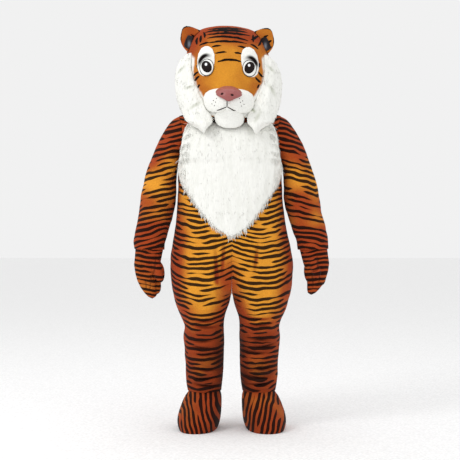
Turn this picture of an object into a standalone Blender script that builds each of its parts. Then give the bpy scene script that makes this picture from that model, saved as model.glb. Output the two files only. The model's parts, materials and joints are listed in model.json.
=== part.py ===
"""Tiger mascot costume in its worn, hollow form: a plush suit, mitts, foot covers and a big head.

Metres, +Z up, the front faces -Y, +X is the wearer's left. The origin lies between the shoulders
that carry the costume. Heights in the tables are measured from the floor.
"""

import math

import bmesh
import bpy
import numpy as np
from mathutils import Matrix, Vector

# Driving sizes
SHOULDER_HEIGHT = 1.430
SEAM = 0.0003
CLOTH = 0.004
HEAD_WALL = 0.012
BIB_PILE = 0.018
BIB_EDGE = 0.007

# Suit: half-sections of one side and its leg, from the leg hem up to the underarm.
# height, inner x, outer x, front depth, back depth, roundness (2 is an ellipse)
SUIT_ROWS = (
    (0.172, 0.047, 0.204, 0.088, 0.096, 2.0),
    (0.225, 0.040, 0.214, 0.096, 0.110, 2.0),
    (0.310, 0.036, 0.216, 0.100, 0.120, 2.0),
    (0.360, 0.035, 0.221, 0.106, 0.118, 2.0),
    (0.400, 0.035, 0.223, 0.116, 0.112, 2.0),
    (0.425, 0.033, 0.229, 0.122, 0.111, 2.0),
    (0.470, 0.036, 0.217, 0.120, 0.120, 2.0),
    (0.510, 0.033, 0.234, 0.124, 0.134, 2.0),
    (0.560, 0.016, 0.258, 0.136, 0.150, 2.05),
    (0.600, 0.004, 0.268, 0.146, 0.160, 2.1),
    (0.615, 0.000, 0.272, 0.150, 0.163, 2.1),
    (0.630, -0.030, 0.275, 0.154, 0.166, 2.1),
    (0.650, -0.060, 0.279, 0.160, 0.170, 2.1),
    (0.700, -0.140, 0.285, 0.170, 0.175, 2.15),
    (0.760, -0.225, 0.288, 0.177, 0.174, 2.2),
    (0.830, -0.277, 0.277, 0.176, 0.164, 2.25),
    (0.900, -0.262, 0.262, 0.172, 0.152, 2.3),
    (0.970, -0.252, 0.252, 0.168, 0.147, 2.3),
    (1.040, -0.245, 0.245, 0.163, 0.146, 2.3),
    (1.160, -0.241, 0.241, 0.154, 0.149, 2.3),
    (1.220, -0.240, 0.240, 0.150, 0.150, 2.3),
)
CROTCH = 0.615
SUIT_COLUMNS = 9
SHOULDER_ROWS = 8
# first height, last height, rows between them
SUIT_STEPS = ((0.172, 0.440, 10), (0.470, 0.600, 4), (0.615, 0.650, 3), (0.700, 1.220, 8))

# Shoulder part of a panel: its corners and edges
SHOULDER_TIP = (0.236, 0.0, 0.015)
ARMHOLE_DEPTH = 0.088
ARMHOLE_CURVE = 0.022
NECK_SIDE = (0.092, 0.0, 0.058)
SHOULDER_SHARE = 0.5
# face, neck point at the centre (y, z), curve handles below it (y, z), (y, z)
CHEST_LINE = {
    "front": ((-0.155, -0.140), (-0.137, -0.050), (-0.100, -0.020)),
    "back": ((0.158, -0.120), (0.140, -0.010), (0.085, 0.035)),
}
SWAY = 0.008

# Folds of the suit: side (1 left, -1 right), face, x from the centre, height, half length,
# half width, depth, slope in degrees, sag of the ends
SUIT_FOLDS = (
    (1, "front", 0.128, 0.462, 0.085, 0.026, 0.009, 4, 0.020),
    (1, "front", 0.118, 0.398, 0.090, 0.026, 0.010, -5, 0.024),
    (1, "front", 0.138, 0.345, 0.072, 0.024, 0.007, 7, 0.014),
    (1, "front", 0.118, 0.275, 0.085, 0.024, 0.008, -9, 0.016),
    (1, "front", 0.130, 0.222, 0.086, 0.022, 0.009, 5, 0.010),
    (1, "front", 0.105, 0.690, 0.150, 0.036, 0.010, 84, 0.006),
    (1, "front", 0.205, 0.585, 0.080, 0.034, 0.007, 38, 0.010),
    (-1, "front", 0.124, 0.455, 0.090, 0.026, 0.010, -3, 0.022),
    (-1, "front", 0.134, 0.405, 0.080, 0.024, 0.008, 6, 0.020),
    (-1, "front", 0.112, 0.342, 0.078, 0.026, 0.008, -6, 0.016),
    (-1, "front", 0.132, 0.270, 0.080, 0.024, 0.007, 8, 0.014),
    (-1, "front", 0.120, 0.218, 0.088, 0.022, 0.009, -4, 0.010),
    (-1, "front", 0.078, 0.700, 0.165, 0.038, 0.011, 92, 0.004),
    (-1, "front", 0.198, 0.600, 0.085, 0.034, 0.006, -32, 0.010),
    (1, "back", 0.125, 0.430, 0.085, 0.028, 0.009, -5, 0.018),
    (1, "back", 0.135, 0.370, 0.080, 0.026, 0.008, 6, 0.014),
    (1, "back", 0.122, 0.260, 0.085, 0.024, 0.008, -4, 0.012),
    (1, "back", 0.130, 0.590, 0.100, 0.034, 0.010, 12, 0.024),
    (1, "back", 0.150, 0.930, 0.110, 0.036, 0.007, -14, 0.010),
    (-1, "back", 0.130, 0.436, 0.080, 0.026, 0.008, 6, 0.018),
    (-1, "back", 0.120, 0.365, 0.085, 0.028, 0.009, -5, 0.014),
    (-1, "back", 0.132, 0.255, 0.082, 0.024, 0.007, 5, 0.012),
    (-1, "back", 0.126, 0.597, 0.100, 0.034, 0.010, -10, 0.024),
    (-1, "back", 0.140, 0.890, 0.115, 0.036, 0.007, 12, 0.010),
)

# Sleeves, armhole to hem: the ring's inner x, z and outer x, z, half depth, forward offset
SLEEVE_ROWS = (
    (0.2403, -0.210, 0.2363, 0.015, 0.088, 0.000),
    (0.2455, -0.234, 0.268, 0.000, 0.089, 0.000),
    (0.2470, -0.264, 0.293, -0.030, 0.090, 0.000),
    (0.2475, -0.295, 0.323, -0.080, 0.089, 0.000),
    (0.2480, -0.325, 0.351, -0.142, 0.088, 0.000),
    (0.2480, -0.352, 0.377, -0.208, 0.087, 0.000),
    (0.2485, -0.377, 0.398, -0.270, 0.086, 0.001),
    (0.2510, -0.402, 0.411, -0.335, 0.085, 0.003),
    (0.2580, -0.432, 0.419, -0.393, 0.083, 0.006),
    (0.2680, -0.464, 0.428, -0.446, 0.081, 0.010),
    (0.2800, -0.502, 0.438, -0.494, 0.079, 0.015),
    (0.2930, -0.540, 0.4475, -0.536, 0.076, 0.020),
    (0.3040, -0.575, 0.4515, -0.574, 0.073, 0.024),
    (0.3070, -0.606, 0.4510, -0.602, 0.072, 0.026),
)
SLEEVE_SIDES = 16
# Folds of a sleeve: side, place along it (0 armhole, 1 hem), half width along it, angle round it
# in degrees (0 outer, 90 back, 270 front), half angle, depth, slant along the angle
SLEEVE_FOLDS = (
    (1, 0.50, 0.055, 285, 95, 0.008, 0.05),
    (1, 0.62, 0.050, 250, 80, 0.007, -0.05),
    (1, 0.74, 0.050, 300, 90, 0.006, 0.04),
    (1, 0.90, 0.045, 270, 120, 0.005, -0.02),
    (-1, 0.46, 0.055, 260, 90, 0.008, -0.05),
    (-1, 0.58, 0.050, 300, 85, 0.007, 0.05),
    (-1, 0.72, 0.050, 255, 90, 0.007, -0.03),
    (-1, 0.89, 0.045, 290, 110, 0.005, 0.03),
    (1, 0.56, 0.055, 80, 80, 0.007, 0.04),
    (-1, 0.54, 0.055, 95, 80, 0.007, -0.04),
)

# Bib: height, half width
BIB_ROWS = (
    (0.884, 0.006),
    (0.906, 0.044),
    (0.948, 0.094),
    (1.018, 0.147),
    (1.095, 0.201),
    (1.150, 0.224),
    (1.195, 0.226),
    (1.230, 0.218),
    (1.270, 0.209),
    (1.350, 0.205),
    (1.380, 0.202),
    (1.404, 0.192),
)
BIB_SOFTENING = 0.060
BIB_OUTLINE_ROWS = 15
BIB_REACH = (-0.300, -0.020)

# Mitts: height, inner x, outer x, half depth, forward offset
MITT_ROWS = (
    (0.850, 0.3105, 0.4455, 0.0665, 0.0245),
    (0.830, 0.3130, 0.4440, 0.0620, 0.0260),
    (0.790, 0.322, 0.447, 0.054, 0.029),
    (0.755, 0.330, 0.451, 0.050, 0.032),
    (0.715, 0.342, 0.445, 0.046, 0.036),
    (0.680, 0.346, 0.435, 0.040, 0.039),
    (0.650, 0.347, 0.420, 0.033, 0.041),
    (0.625, 0.347, 0.402, 0.025, 0.042),
    (0.608, 0.350, 0.385, 0.016, 0.043),
)
MITT_TIP = (0.598, 0.366, 0.043)
MITT_SIDES = 14
FINGER_GROOVE = 0.007
KNUCKLES = 0.735
# side, root x, y, height, root radius, tip x, y, height, tip radius
THUMBS = (
    (1, 0.372, -0.070, 0.775, 0.026, 0.392, -0.088, 0.695, 0.019),
    (-1, 0.352, -0.058, 0.775, 0.026, 0.330, -0.072, 0.690, 0.019),
)
THUMB_SIDES = 8

# Foot covers: height, inner x, outer x, front y, back y, roundness
SPAT_ROWS = (
    (0.200, 0.0530, 0.1985, -0.081, 0.089, 2.0),
    (0.170, 0.0530, 0.1985, -0.081, 0.089, 2.0),
    (0.158, 0.047, 0.209, -0.093, 0.098, 2.0),
    (0.140, 0.045, 0.222, -0.112, 0.104, 2.1),
    (0.105, 0.045, 0.236, -0.140, 0.108, 2.2),
    (0.070, 0.047, 0.248, -0.168, 0.111, 2.3),
    (0.040, 0.050, 0.252, -0.186, 0.111, 2.4),
    (0.015, 0.057, 0.247, -0.190, 0.107, 2.4),
    (0.000, 0.064, 0.240, -0.186, 0.102, 2.4),
)
SPAT_SIDES = 20
TOE_OUT = 6.0

# Head: height of a section above the shoulders at the middle, tilt of the section (rise per metre
# towards the back), half width, front depth, back depth, roundness
HEAD_ROWS = (
    (-0.080, 0.330, 0.150, 0.158, 0.150, 2.2),
    (0.035, 0.330, 0.166, 0.168, 0.172, 2.2),
    (0.075, 0.280, 0.178, 0.178, 0.192, 2.2),
    (0.125, 0.200, 0.190, 0.184, 0.207, 2.2),
    (0.175, 0.120, 0.197, 0.183, 0.217, 2.2),
    (0.225, 0.050, 0.199, 0.178, 0.221, 2.2),
    (0.275, 0.000, 0.195, 0.171, 0.218, 2.2),
    (0.315, 0.000, 0.188, 0.160, 0.208, 2.2),
    (0.350, 0.000, 0.177, 0.146, 0.192, 2.2),
    (0.380, 0.000, 0.161, 0.127, 0.169, 2.2),
    (0.402, 0.000, 0.139, 0.104, 0.140, 2.2),
    (0.417, 0.000, 0.108, 0.077, 0.105, 2.2),
    (0.425, 0.000, 0.066, 0.046, 0.064, 2.1),
)
HEAD_RIM = 0.0443
HEAD_TOP = 0.4285
HEAD_LAST = 0.4265
HEAD_COLUMNS = 19
HEAD_ROW_COUNT = 14
HEAD_X = -0.003
HEAD_LEAN = -0.026
HEAD_ASKEW = 0.024
# Raised forms of the face: x, z, half width, half height, how far they stand out
FACE_RELIEF = (
    (0.0, 0.060, 0.105, 0.085, 0.050),
    (0.0, 0.150, 0.060, 0.075, 0.014),
    (0.100, 0.285, 0.060, 0.045, 0.007),
    (-0.100, 0.285, 0.060, 0.045, 0.007),
)

# Pieces on the face, as ovals: x, z, half width, half height, turn in degrees, roundness,
# height at the middle, height at the edge
BROW = (0.099, 0.243, 0.040, 0.070, 6.0, 2.3, 0.006, 0.003)
EYE = (0.0955, 0.213, 0.032, 0.039, 8.0, 2.1, 0.009, 0.0015)
PUPIL = (0.0945, 0.2155, 0.0225, 0.0275, 10.0, 2.1, 0.0035, 0.001)
CHIN = (0.0, -0.012, 0.067, 0.046, 0.0, 2.3, 0.022, 0.004)
MUZZLE = (0.0575, 0.064, 0.0560, 0.051, -8.0, 2.6, 0.030, 0.006)
NOSE = (0.0, 0.091, 0.056, 0.036, 0.0, 2.8, 0.015, 0.004)
REST = 0.0006
ROOT = 0.006
# The nose stands out more towards its foot, where the muzzle lobes lie under it
NOSE_LIFT = 0.034
NOSE_TOP = 0.130
NOSE_SLOPE = 0.045
FORWARD = 0.35

# Ruffs: height, inner angle and back angle round the head in degrees from its front,
# how far the piece stands off the head there, thickness
RUFF_ROWS = (
    (0.288, 57, 67, 0.0000, 0.008),
    (0.262, 55, 100, 0.0000, 0.026),
    (0.225, 54, 120, 0.0000, 0.042),
    (0.180, 50, 126, 0.0000, 0.052),
    (0.130, 42, 120, 0.0000, 0.056),
    (0.085, 33, 102, 0.0040, 0.058),
    (0.045, 25, 78, 0.0160, 0.054),
    (0.010, 20, 64, 0.0300, 0.048),
    (-0.020, 21, 57, 0.0400, 0.042),
    (-0.045, 25, 49, 0.0460, 0.030),
)
RUFF_TIP = (-0.068, 33, 0.050)
RUFF_COLUMNS = 9

# Ears: a flap on the upper corner of the head
EAR_BASE = (0.160, -0.060, 0.339)
EAR_RISE = 10.0
EAR_HALF_LENGTH = 0.065
EAR_HEIGHT = 0.060
EAR_ROOT = 0.030
EAR_HALF_DEPTH = 0.021
EAR_CUP = 0.012
EAR_SKEW = 0.022
# How square the ear's outline is at its upper corner and at its foot
EAR_CORNER = 3.6
EAR_FOOT = 2.2
EAR_SIDES = 14

# Zip down the centre back: heights of its ends and of its slider above the shoulders
ZIP_TOP = 0.026
ZIP_FOOT = -0.520
ZIP_HALF_WIDTH = 0.004
ZIP_THICK = 0.0022
SLIDER_Z = -0.030
SLIDER_SIZE = (0.0105, 0.012, 0.003)
BRIDGE_WIDTH = 0.002
BRIDGE_SPAN = 0.0085
BRIDGE_CLEAR = 0.0026
BRIDGE_THICK = 0.0010
PULL_SIZE = (0.008, 0.032, 0.0014)
PULL_SLOT = (0.0034, 0.0052)

COLOURS = {
    # name: colour, roughness
    "tiger_plush": ((0.55, 0.20, 0.04), 0.95),
    "white_fur": ((0.85, 0.85, 0.82), 0.95),
    "dark_fur": ((0.04, 0.03, 0.03), 0.95),
    "eye_white": ((0.90, 0.90, 0.88), 0.25),
    "eye_dark": ((0.02, 0.01, 0.01), 0.12),
    "nose_vinyl": ((0.45, 0.15, 0.13), 0.45),
    "zip_metal": ((0.35, 0.28, 0.18), 0.35),
}


# Materials and meshes


def material(name):
    found = bpy.data.materials.get(name)
    if found:
        return found
    colour, roughness = COLOURS[name]
    made = bpy.data.materials.new(name)
    made.use_nodes = True
    shader = made.node_tree.nodes["Principled BSDF"]
    shader.inputs["Base Color"].default_value = (*colour, 1.0)
    shader.inputs["Roughness"].default_value = roughness
    shader.inputs["Metallic"].default_value = 1.0 if name == "zip_metal" else 0.0
    return made


def add_object(name, points, faces, surface, helper=False):
    """An object from points and faces, its faces turned outwards."""
    mesh = bpy.data.meshes.new(name)
    mesh.from_pydata([tuple(map(float, point)) for point in points], [], faces)
    shape = bmesh.new()
    shape.from_mesh(mesh)
    bmesh.ops.recalc_face_normals(shape, faces=shape.faces)
    if shape.calc_volume(signed=True) < 0:
        bmesh.ops.reverse_faces(shape, faces=shape.faces)
    shape.to_mesh(mesh)
    shape.free()
    mesh.materials.append(material(surface))
    mesh.shade_smooth()
    obj = bpy.data.objects.new(name, mesh)
    bpy.context.collection.objects.link(obj)
    if helper:
        obj.hide_render = True
        obj.display_type = "WIRE"
    return obj


def grid_faces(start, rows, columns, closed, flipped=False, turned=None):
    """Triangles over a grid of points; from the turned column on they lean the other way."""
    last = columns if closed else columns - 1
    faces = []
    for row in range(rows - 1):
        for column in range(last):
            after = (column + 1) % columns
            low, high = start + row * columns, start + (row + 1) * columns
            a, b, c, d = low + column, low + after, high + after, high + column
            pair = ((a, b, c), (a, c, d))
            if turned is not None and column >= turned:
                pair = ((a, b, d), (b, c, d))
            faces += [triangle[::-1] if flipped else triangle for triangle in pair]
    return faces


def add_wall(name, outer, inner, surface, closed=False, tips=None, helper=False, turned=None):
    """A wall between two grids of points, with tips where its last row closes to a point."""
    rows, columns = outer.shape[:2]
    second = rows * columns
    points = list(outer.reshape(-1, 3)) + list(inner.reshape(-1, 3)) + list(tips or ())
    faces = grid_faces(0, rows, columns, closed, False, turned)
    faces += grid_faces(second, rows, columns, closed, True, turned)
    top = (rows - 1) * columns
    outer_tip, inner_tip = 2 * second, 2 * second + 1
    for column in range(columns if closed else columns - 1):
        after = (column + 1) % columns
        faces.append((after, column, second + column, second + after))
        a, b = top + column, top + after
        if tips:
            faces.append((a, b, outer_tip))
            faces.append((second + b, second + a, inner_tip))
        else:
            faces.append((a, b, second + b, second + a))
    if not closed:
        for edge in (0, columns - 1):
            for row in range(rows - 1):
                a, b = row * columns + edge, (row + 1) * columns + edge
                faces.append((a, b, second + b, second + a))
            if tips:
                faces.append((top + edge, outer_tip, inner_tip, second + top + edge))
    return add_object(name, points, faces, surface, helper)


def add_plug(name, rings, first, last, surface, helper=False):
    """A filled solid from closed rings, ending in a point at each end."""
    rows, columns = rings.shape[:2]
    points = list(rings.reshape(-1, 3)) + [first, last]
    faces = grid_faces(0, rows, columns, True)
    start, end, top = rows * columns, rows * columns + 1, (rows - 1) * columns
    for column in range(columns):
        after = (column + 1) % columns
        faces.append((after, column, start))
        faces.append((top + column, top + after, end))
    return add_object(name, points, faces, surface, helper)


def add_box(name, centre, size, frame, surface, helper=False):
    """A box in a local frame."""
    corners = [
        frame @ Vector([c + s * half / 2 for c, s, half in zip(centre, signs, size)])
        for signs in ((x, y, z) for x in (-1, 1) for y in (-1, 1) for z in (-1, 1))
    ]
    faces = [(0, 1, 3, 2), (4, 6, 7, 5), (0, 4, 5, 1), (2, 3, 7, 6), (0, 2, 6, 4), (1, 5, 7, 3)]
    return add_object(name, corners, faces, surface, helper)


def combine(obj, other, operation):
    modifier = obj.modifiers.new(other.name, "BOOLEAN")
    modifier.operation = operation
    modifier.object = other
    modifier.solver = "EXACT"


# Curves and surfaces


def smooth_rows(table, places):
    """Rows of a table read between its own rows with a monotone cubic in the first column."""
    table = np.array(table, float)
    if table[0, 0] > table[-1, 0]:
        table = table[::-1]
    knots, values = table[:, 0], table[:, 1:]
    steps = np.diff(knots)[:, None]
    slopes = np.diff(values, axis=0) / steps
    tangents = np.zeros_like(values)
    before, after = slopes[:-1], slopes[1:]
    same = before * after > 0
    total = np.where(same, before + after, 1.0)
    tangents[1:-1] = np.where(same, 2 * before * after / total, 0.0)
    tangents[0], tangents[-1] = slopes[0], slopes[-1]
    places = np.clip(np.atleast_1d(np.asarray(places, float)), knots[0], knots[-1])
    index = np.clip(np.searchsorted(knots, places, "right") - 1, 0, len(knots) - 2)
    step = (knots[index + 1] - knots[index])[:, None]
    t = (places - knots[index])[:, None] / step
    return (
        (2 * t**3 - 3 * t**2 + 1) * values[index]
        + (t**3 - 2 * t**2 + t) * step * tangents[index]
        + (3 * t**2 - 2 * t**3) * values[index + 1]
        + (t**3 - t**2) * step * tangents[index + 1]
    )


def bump(value):
    """1 at zero, falling smoothly to 0 at one."""
    return np.where(np.abs(value) < 1, np.cos(np.clip(value, -1, 1) * math.pi / 2) ** 2, 0.0)


def ease(value):
    value = np.clip(value, 0, 1)
    return value * value * (3 - 2 * value)


def normals(grid, closed=False):
    """Unit normals of a grid of points that face away from the middle of each row."""
    if closed:
        across = np.roll(grid, -1, axis=1) - np.roll(grid, 1, axis=1)
    else:
        across = np.gradient(grid, axis=1)
    along = np.gradient(grid, axis=0)
    found = np.cross(across, along)
    found /= np.maximum(np.linalg.norm(found, axis=2, keepdims=True), 1e-12)
    outwards = grid - grid.mean(axis=1, keepdims=True)
    return found * np.sign(np.sum(found * outwards))


def mirrored(points, side):
    return points * np.array([side, 1, 1])


def swayed(points):
    """The hips of the wearer stand a little to the left of the chest."""
    heights = points[..., 2] + SHOULDER_HEIGHT
    moved = points.copy()
    moved[..., 0] += SWAY * ease((1.10 - heights) / 0.40)
    return moved


# Suit


def suit_heights():
    return np.concatenate([np.linspace(low, high, count) for low, high, count in SUIT_STEPS])


def section_row(height, shares, back):
    """Points of one half-section, from the side seam to the centre or inside-leg seam."""
    inner, outer, front_depth, back_depth, power = smooth_rows(SUIT_ROWS, height)[0]
    depth = back_depth if back else -front_depth
    centre, half = (inner + outer) / 2, (outer - inner) / 2
    end = math.pi
    if height > CROTCH:
        end = math.pi - math.acos(min(1, max(0, centre / half) ** (power / 2)))
    angle = shares * end
    cosine, sine = np.cos(angle), np.sin(angle)
    x = centre + half * np.sign(cosine) * np.abs(cosine) ** (2 / power)
    y = depth * np.abs(sine) ** (2 / power)
    return np.stack([x, y, np.full_like(x, height - SHOULDER_HEIGHT)], axis=1)


def bezier(first, second, third, fourth, t):
    t = t[:, None]
    return (
        (1 - t) ** 3 * first
        + 3 * (1 - t) ** 2 * t * second
        + 3 * (1 - t) * t**2 * third
        + t**3 * fourth
    )


def shoulder_grid(underarm, shares, back, rows):
    """The panel above the underarm, spanned between the armhole, shoulder, neck and centre."""
    turn = 1 if back else -1
    t = np.linspace(0, 1, rows + 1)[1:]
    lift = ease(t)
    first, last = underarm[0], underarm[-1]
    tip, neck = np.array(SHOULDER_TIP), np.array(NECK_SIDE)
    angle = (t - 0.5) * math.pi
    middle, half = (first[2] + tip[2]) / 2, (tip[2] - first[2]) / 2
    arm = np.stack(
        [
            (first[0] + tip[0] + (tip[0] - first[0]) * np.sin(angle)) / 2
            - ARMHOLE_CURVE * np.cos(angle) ** 2,
            turn * ARMHOLE_DEPTH * np.cos(angle),
            middle + half * np.sin(angle),
        ],
        axis=1,
    )
    handles = [np.array([0.0, *point]) for point in CHEST_LINE["back" if back else "front"]]
    centre = bezier(last, *handles, t)
    collar = np.clip((shares - SHOULDER_SHARE) / (1 - SHOULDER_SHARE), 0, 1) * math.pi / 2
    seam = np.clip(shares / SHOULDER_SHARE, 0, 1)[:, None]
    top = tip + (neck - tip) * seam
    top[:, 0] = np.where(collar > 0, neck[0] * np.cos(collar), top[:, 0])
    top[:, 1] = handles[2][1] * np.sin(collar)
    top[:, 2] += (handles[2][2] - neck[2]) * np.sin(collar) ** 1.5
    u, s = shares[None, :, None], lift[:, None, None]
    arm_part = arm[:, None] - (1 - s) * first - s * tip
    centre_part = centre[:, None] - (1 - s) * last - s * handles[2]
    return (1 - s) * underarm[None] + s * top[None] + (1 - u) * arm_part + u * centre_part


def fold_heights(points, side, face):
    """How far the suit's folds stand out at each point of a left-hand grid."""
    x, height = points[..., 0], points[..., 2] + SHOULDER_HEIGHT
    total = np.zeros_like(x)
    for fold_side, fold_face, x0, h0, length, width, depth, slope, sag in SUIT_FOLDS:
        if (fold_side, fold_face) != (side, face):
            continue
        turn = math.radians(slope)
        dx, dh = x - x0, height - h0
        s = dx * math.cos(turn) + dh * math.sin(turn)
        q = dh * math.cos(turn) - dx * math.sin(turn) - sag * (s / length) ** 2
        total += depth * bump(s / length) * bump(q / width)
    return total


def panel_grid(side, face):
    """Points and normals of one panel's outer face on the left-hand side."""
    back = face == "back"
    shares = np.linspace(0, 1, SUIT_COLUMNS)
    rows = np.array([section_row(height, shares, back) for height in suit_heights()])
    grid = np.concatenate([rows, shoulder_grid(rows[-1], shares, back, SHOULDER_ROWS)])
    grid += normals(grid) * fold_heights(grid, side, face)[..., None]
    return grid, normals(grid)


def held_apart(grid, face):
    """Keeps a left-hand panel off its neighbours at the side, shoulder and centre seams."""
    grid = grid.copy()
    grid[..., 0] = np.maximum(grid[..., 0], SEAM / 2)
    if face == "front":
        grid[..., 1] = np.minimum(grid[..., 1], -SEAM / 2)
    else:
        grid[..., 1] = np.maximum(grid[..., 1], SEAM / 2)
    return grid


def add_panel(side, face):
    outer, facing = panel_grid(side, face)
    inner = outer - facing * CLOTH
    armhole = len(suit_heights())
    inner[armhole:, 0, 0] = np.minimum(inner[armhole:, 0, 0], outer[armhole:, 0, 0])
    name = f"{face}_{'left' if side > 0 else 'right'}"
    walls = [swayed(mirrored(held_apart(grid, face), side)) for grid in (outer, inner)]
    add_wall(name, *walls, "tiger_plush")


def sleeve_fold_heights(places, angles, side):
    total = np.zeros((len(places), len(angles)))
    for fold_side, place, width, angle, spread, depth, slant in SLEEVE_FOLDS:
        if fold_side != side:
            continue
        around = (angles - math.radians(angle) + math.pi) % (2 * math.pi) - math.pi
        line = place + slant * around[None, :]
        along = (places[:, None] - line) / width
        total += depth * bump(around[None, :] / math.radians(spread)) * bump(along)
    return total


def sleeve_grid(side):
    """Rings of the left-hand sleeve; angle 0 is the outer side and 90 degrees the back."""
    angles = np.arange(SLEEVE_SIDES) * 2 * math.pi / SLEEVE_SIDES
    places = np.linspace(0, 1, len(SLEEVE_ROWS))
    rows = np.array(SLEEVE_ROWS)
    inner, outer = rows[:, 0:2], rows[:, 2:4]
    middle, half = (inner + outer) / 2, (outer - inner) / 2
    cosine, sine = np.cos(angles)[None], np.sin(angles)[None]
    grid = np.stack(
        [
            middle[:, :1] + half[:, :1] * cosine,
            rows[:, 4:5] * sine - rows[:, 5:6],
            middle[:, 1:] + half[:, 1:] * cosine,
        ],
        axis=2,
    )
    curve = np.array([1.0, 0.45, 0.12] + [0.0] * (len(rows) - 3))
    grid[..., 0] -= ARMHOLE_CURVE * curve[:, None] * sine**2
    away = ease((1 + cosine) / 0.5)
    grid += normals(grid, True) * (sleeve_fold_heights(places, angles, side) * away)[..., None]
    return grid


def add_sleeve(side):
    outer = sleeve_grid(side)
    inner = outer - normals(outer, True) * CLOTH
    middle = outer[0].mean(axis=0)
    towards = outer[0] - middle
    towards[:, 0] = 0
    reach = np.linalg.norm(towards, axis=1, keepdims=True)
    inner[0] = outer[0] - towards / reach * CLOTH
    name = "sleeve_left" if side > 0 else "sleeve_right"
    add_wall(name, swayed(mirrored(outer, side)), swayed(mirrored(inner, side)), "tiger_plush", True)


def bib_outline():
    """The left-hand edge of the bib from its tip up to the neck: x and height."""
    heights = np.linspace(BIB_ROWS[0][0], BIB_ROWS[-1][0], BIB_OUTLINE_ROWS)
    return smooth_rows(BIB_ROWS, heights)[:, 0], heights


def add_bib():
    """Long-pile bib: the points of both front panels moved out, cut to the bib's outline."""
    points, facing = panel_grid(1, "front")
    first = int(np.searchsorted(points[:, -1, 2] + SHOULDER_HEIGHT, BIB_ROWS[0][0])) - 1
    points, facing = points[first:].copy(), facing[first:].copy()
    points[:, -1, 0] = 0
    facing[:, -1, 0] = 0
    facing /= np.linalg.norm(facing, axis=2, keepdims=True)
    half = smooth_rows(BIB_ROWS, points[..., 2].ravel() + SHOULDER_HEIGHT)[:, 0]
    below_neck = BIB_ROWS[-1][0] - SHOULDER_HEIGHT - points[..., 2]
    within = np.minimum(half.reshape(points.shape[:2]) - points[..., 0], below_neck)
    within = np.clip(within / BIB_SOFTENING, 0, 1)
    pile = BIB_EDGE + (BIB_PILE - BIB_EDGE) * np.sin(within * math.pi / 2)
    grids = []
    for height in (REST + pile, REST + 0 * pile):
        left = points + facing * height[..., None]
        grids.append(np.concatenate([left, mirrored(left[:, -2::-1], -1)], axis=1))
    walls = [swayed(grid) for grid in grids]
    bib = add_wall("bib", *walls, "white_fur", turned=SUIT_COLUMNS - 1)
    x, heights = bib_outline()
    outline = np.concatenate([np.stack([x, heights], 1), np.stack([-x, heights], 1)[::-1]])
    rings = np.array([[(x, y, h - SHOULDER_HEIGHT) for x, h in outline] for y in BIB_REACH])
    shapes = [swayed(shape) for shape in (rings, rings[0].mean(axis=0), rings[1].mean(axis=0))]
    combine(bib, add_plug("bib_outline", *shapes, "white_fur", True), "INTERSECT")


# Zip


def zip_frame():
    """The centre-back line with its normals, and the slider's frame on it."""
    grid, facing = panel_grid(1, "back")
    line, out = grid[:, -1].copy(), facing[:, -1].copy()
    out[:, 0] = 0
    out /= np.linalg.norm(out, axis=1, keepdims=True)
    line[:, 0] = 0
    spot = np.array([np.interp(SLIDER_Z, line[:, 2], line[:, k]) for k in range(3)])
    away = np.array([np.interp(SLIDER_Z, line[:, 2], out[:, k]) for k in range(3)])
    away = Vector(away).normalized()
    up = Vector((1, 0, 0)).cross(away)
    base = Vector(spot) + away * (REST + ZIP_THICK + SEAM)
    frame = Matrix((Vector((1, 0, 0)), away, up)).transposed().to_4x4()
    frame.translation = base
    return line, out, frame


def add_zip():
    line, out, frame = zip_frame()
    kept = (line[:, 2] > ZIP_FOOT) & (line[:, 2] < ZIP_TOP)
    heights = np.concatenate([[ZIP_FOOT], line[kept, 2], [ZIP_TOP]])
    spine = np.stack([np.interp(heights, line[:, 2], line[:, k]) for k in range(3)], axis=1)
    away = np.stack([np.interp(heights, line[:, 2], out[:, k]) for k in range(3)], axis=1)
    widths = np.array([-1, 1])[None, :, None] * np.array([ZIP_HALF_WIDTH, 0, 0])
    base = spine[:, None] + away[:, None] * REST + widths
    lifted = base + away[:, None] * ZIP_THICK
    add_wall("zip_chain", swayed(lifted), swayed(base), "zip_metal")
    add_slider(frame)
    add_pull(frame)


def add_slider(frame):
    """Slider body with an arched bridge; the local Y axis points away from the cloth."""
    width, height, thick = SLIDER_SIZE
    body = add_box("zip_slider", (0, thick / 2, 0), (width, thick, height), frame, "zip_metal")
    reach = BRIDGE_CLEAR + BRIDGE_THICK
    block = add_box(
        "bridge_block",
        (0, thick + reach / 2 - 0.0002, 0),
        (BRIDGE_WIDTH, reach + 0.0004, BRIDGE_SPAN),
        frame,
        "zip_metal",
        helper=True,
    )
    hollow = add_box(
        "bridge_hollow",
        (0, thick + BRIDGE_CLEAR / 2, 0),
        (BRIDGE_WIDTH * 2, BRIDGE_CLEAR, BRIDGE_SPAN - 2 * BRIDGE_THICK),
        frame,
        "zip_metal",
        helper=True,
    )
    combine(block, hollow, "DIFFERENCE")
    combine(body, block, "UNION")


def add_pull(frame):
    """Pull tab whose top bar runs under the bridge; it lies down along the zip."""
    width, length, thick = PULL_SIZE
    slot_width, slot_height = PULL_SLOT
    axis = SLIDER_SIZE[2] + BRIDGE_CLEAR / 2
    centre = (0, axis, thick / 2 - length / 2)
    plate = add_box("zip_pull", centre, (width, thick, length), frame, "zip_metal")
    slot = add_box(
        "pull_slot",
        (0, axis, -thick / 2 - slot_height / 2),
        (slot_width, thick * 3, slot_height),
        frame,
        "zip_metal",
        helper=True,
    )
    combine(plate, slot, "DIFFERENCE")


# Mitts


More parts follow.
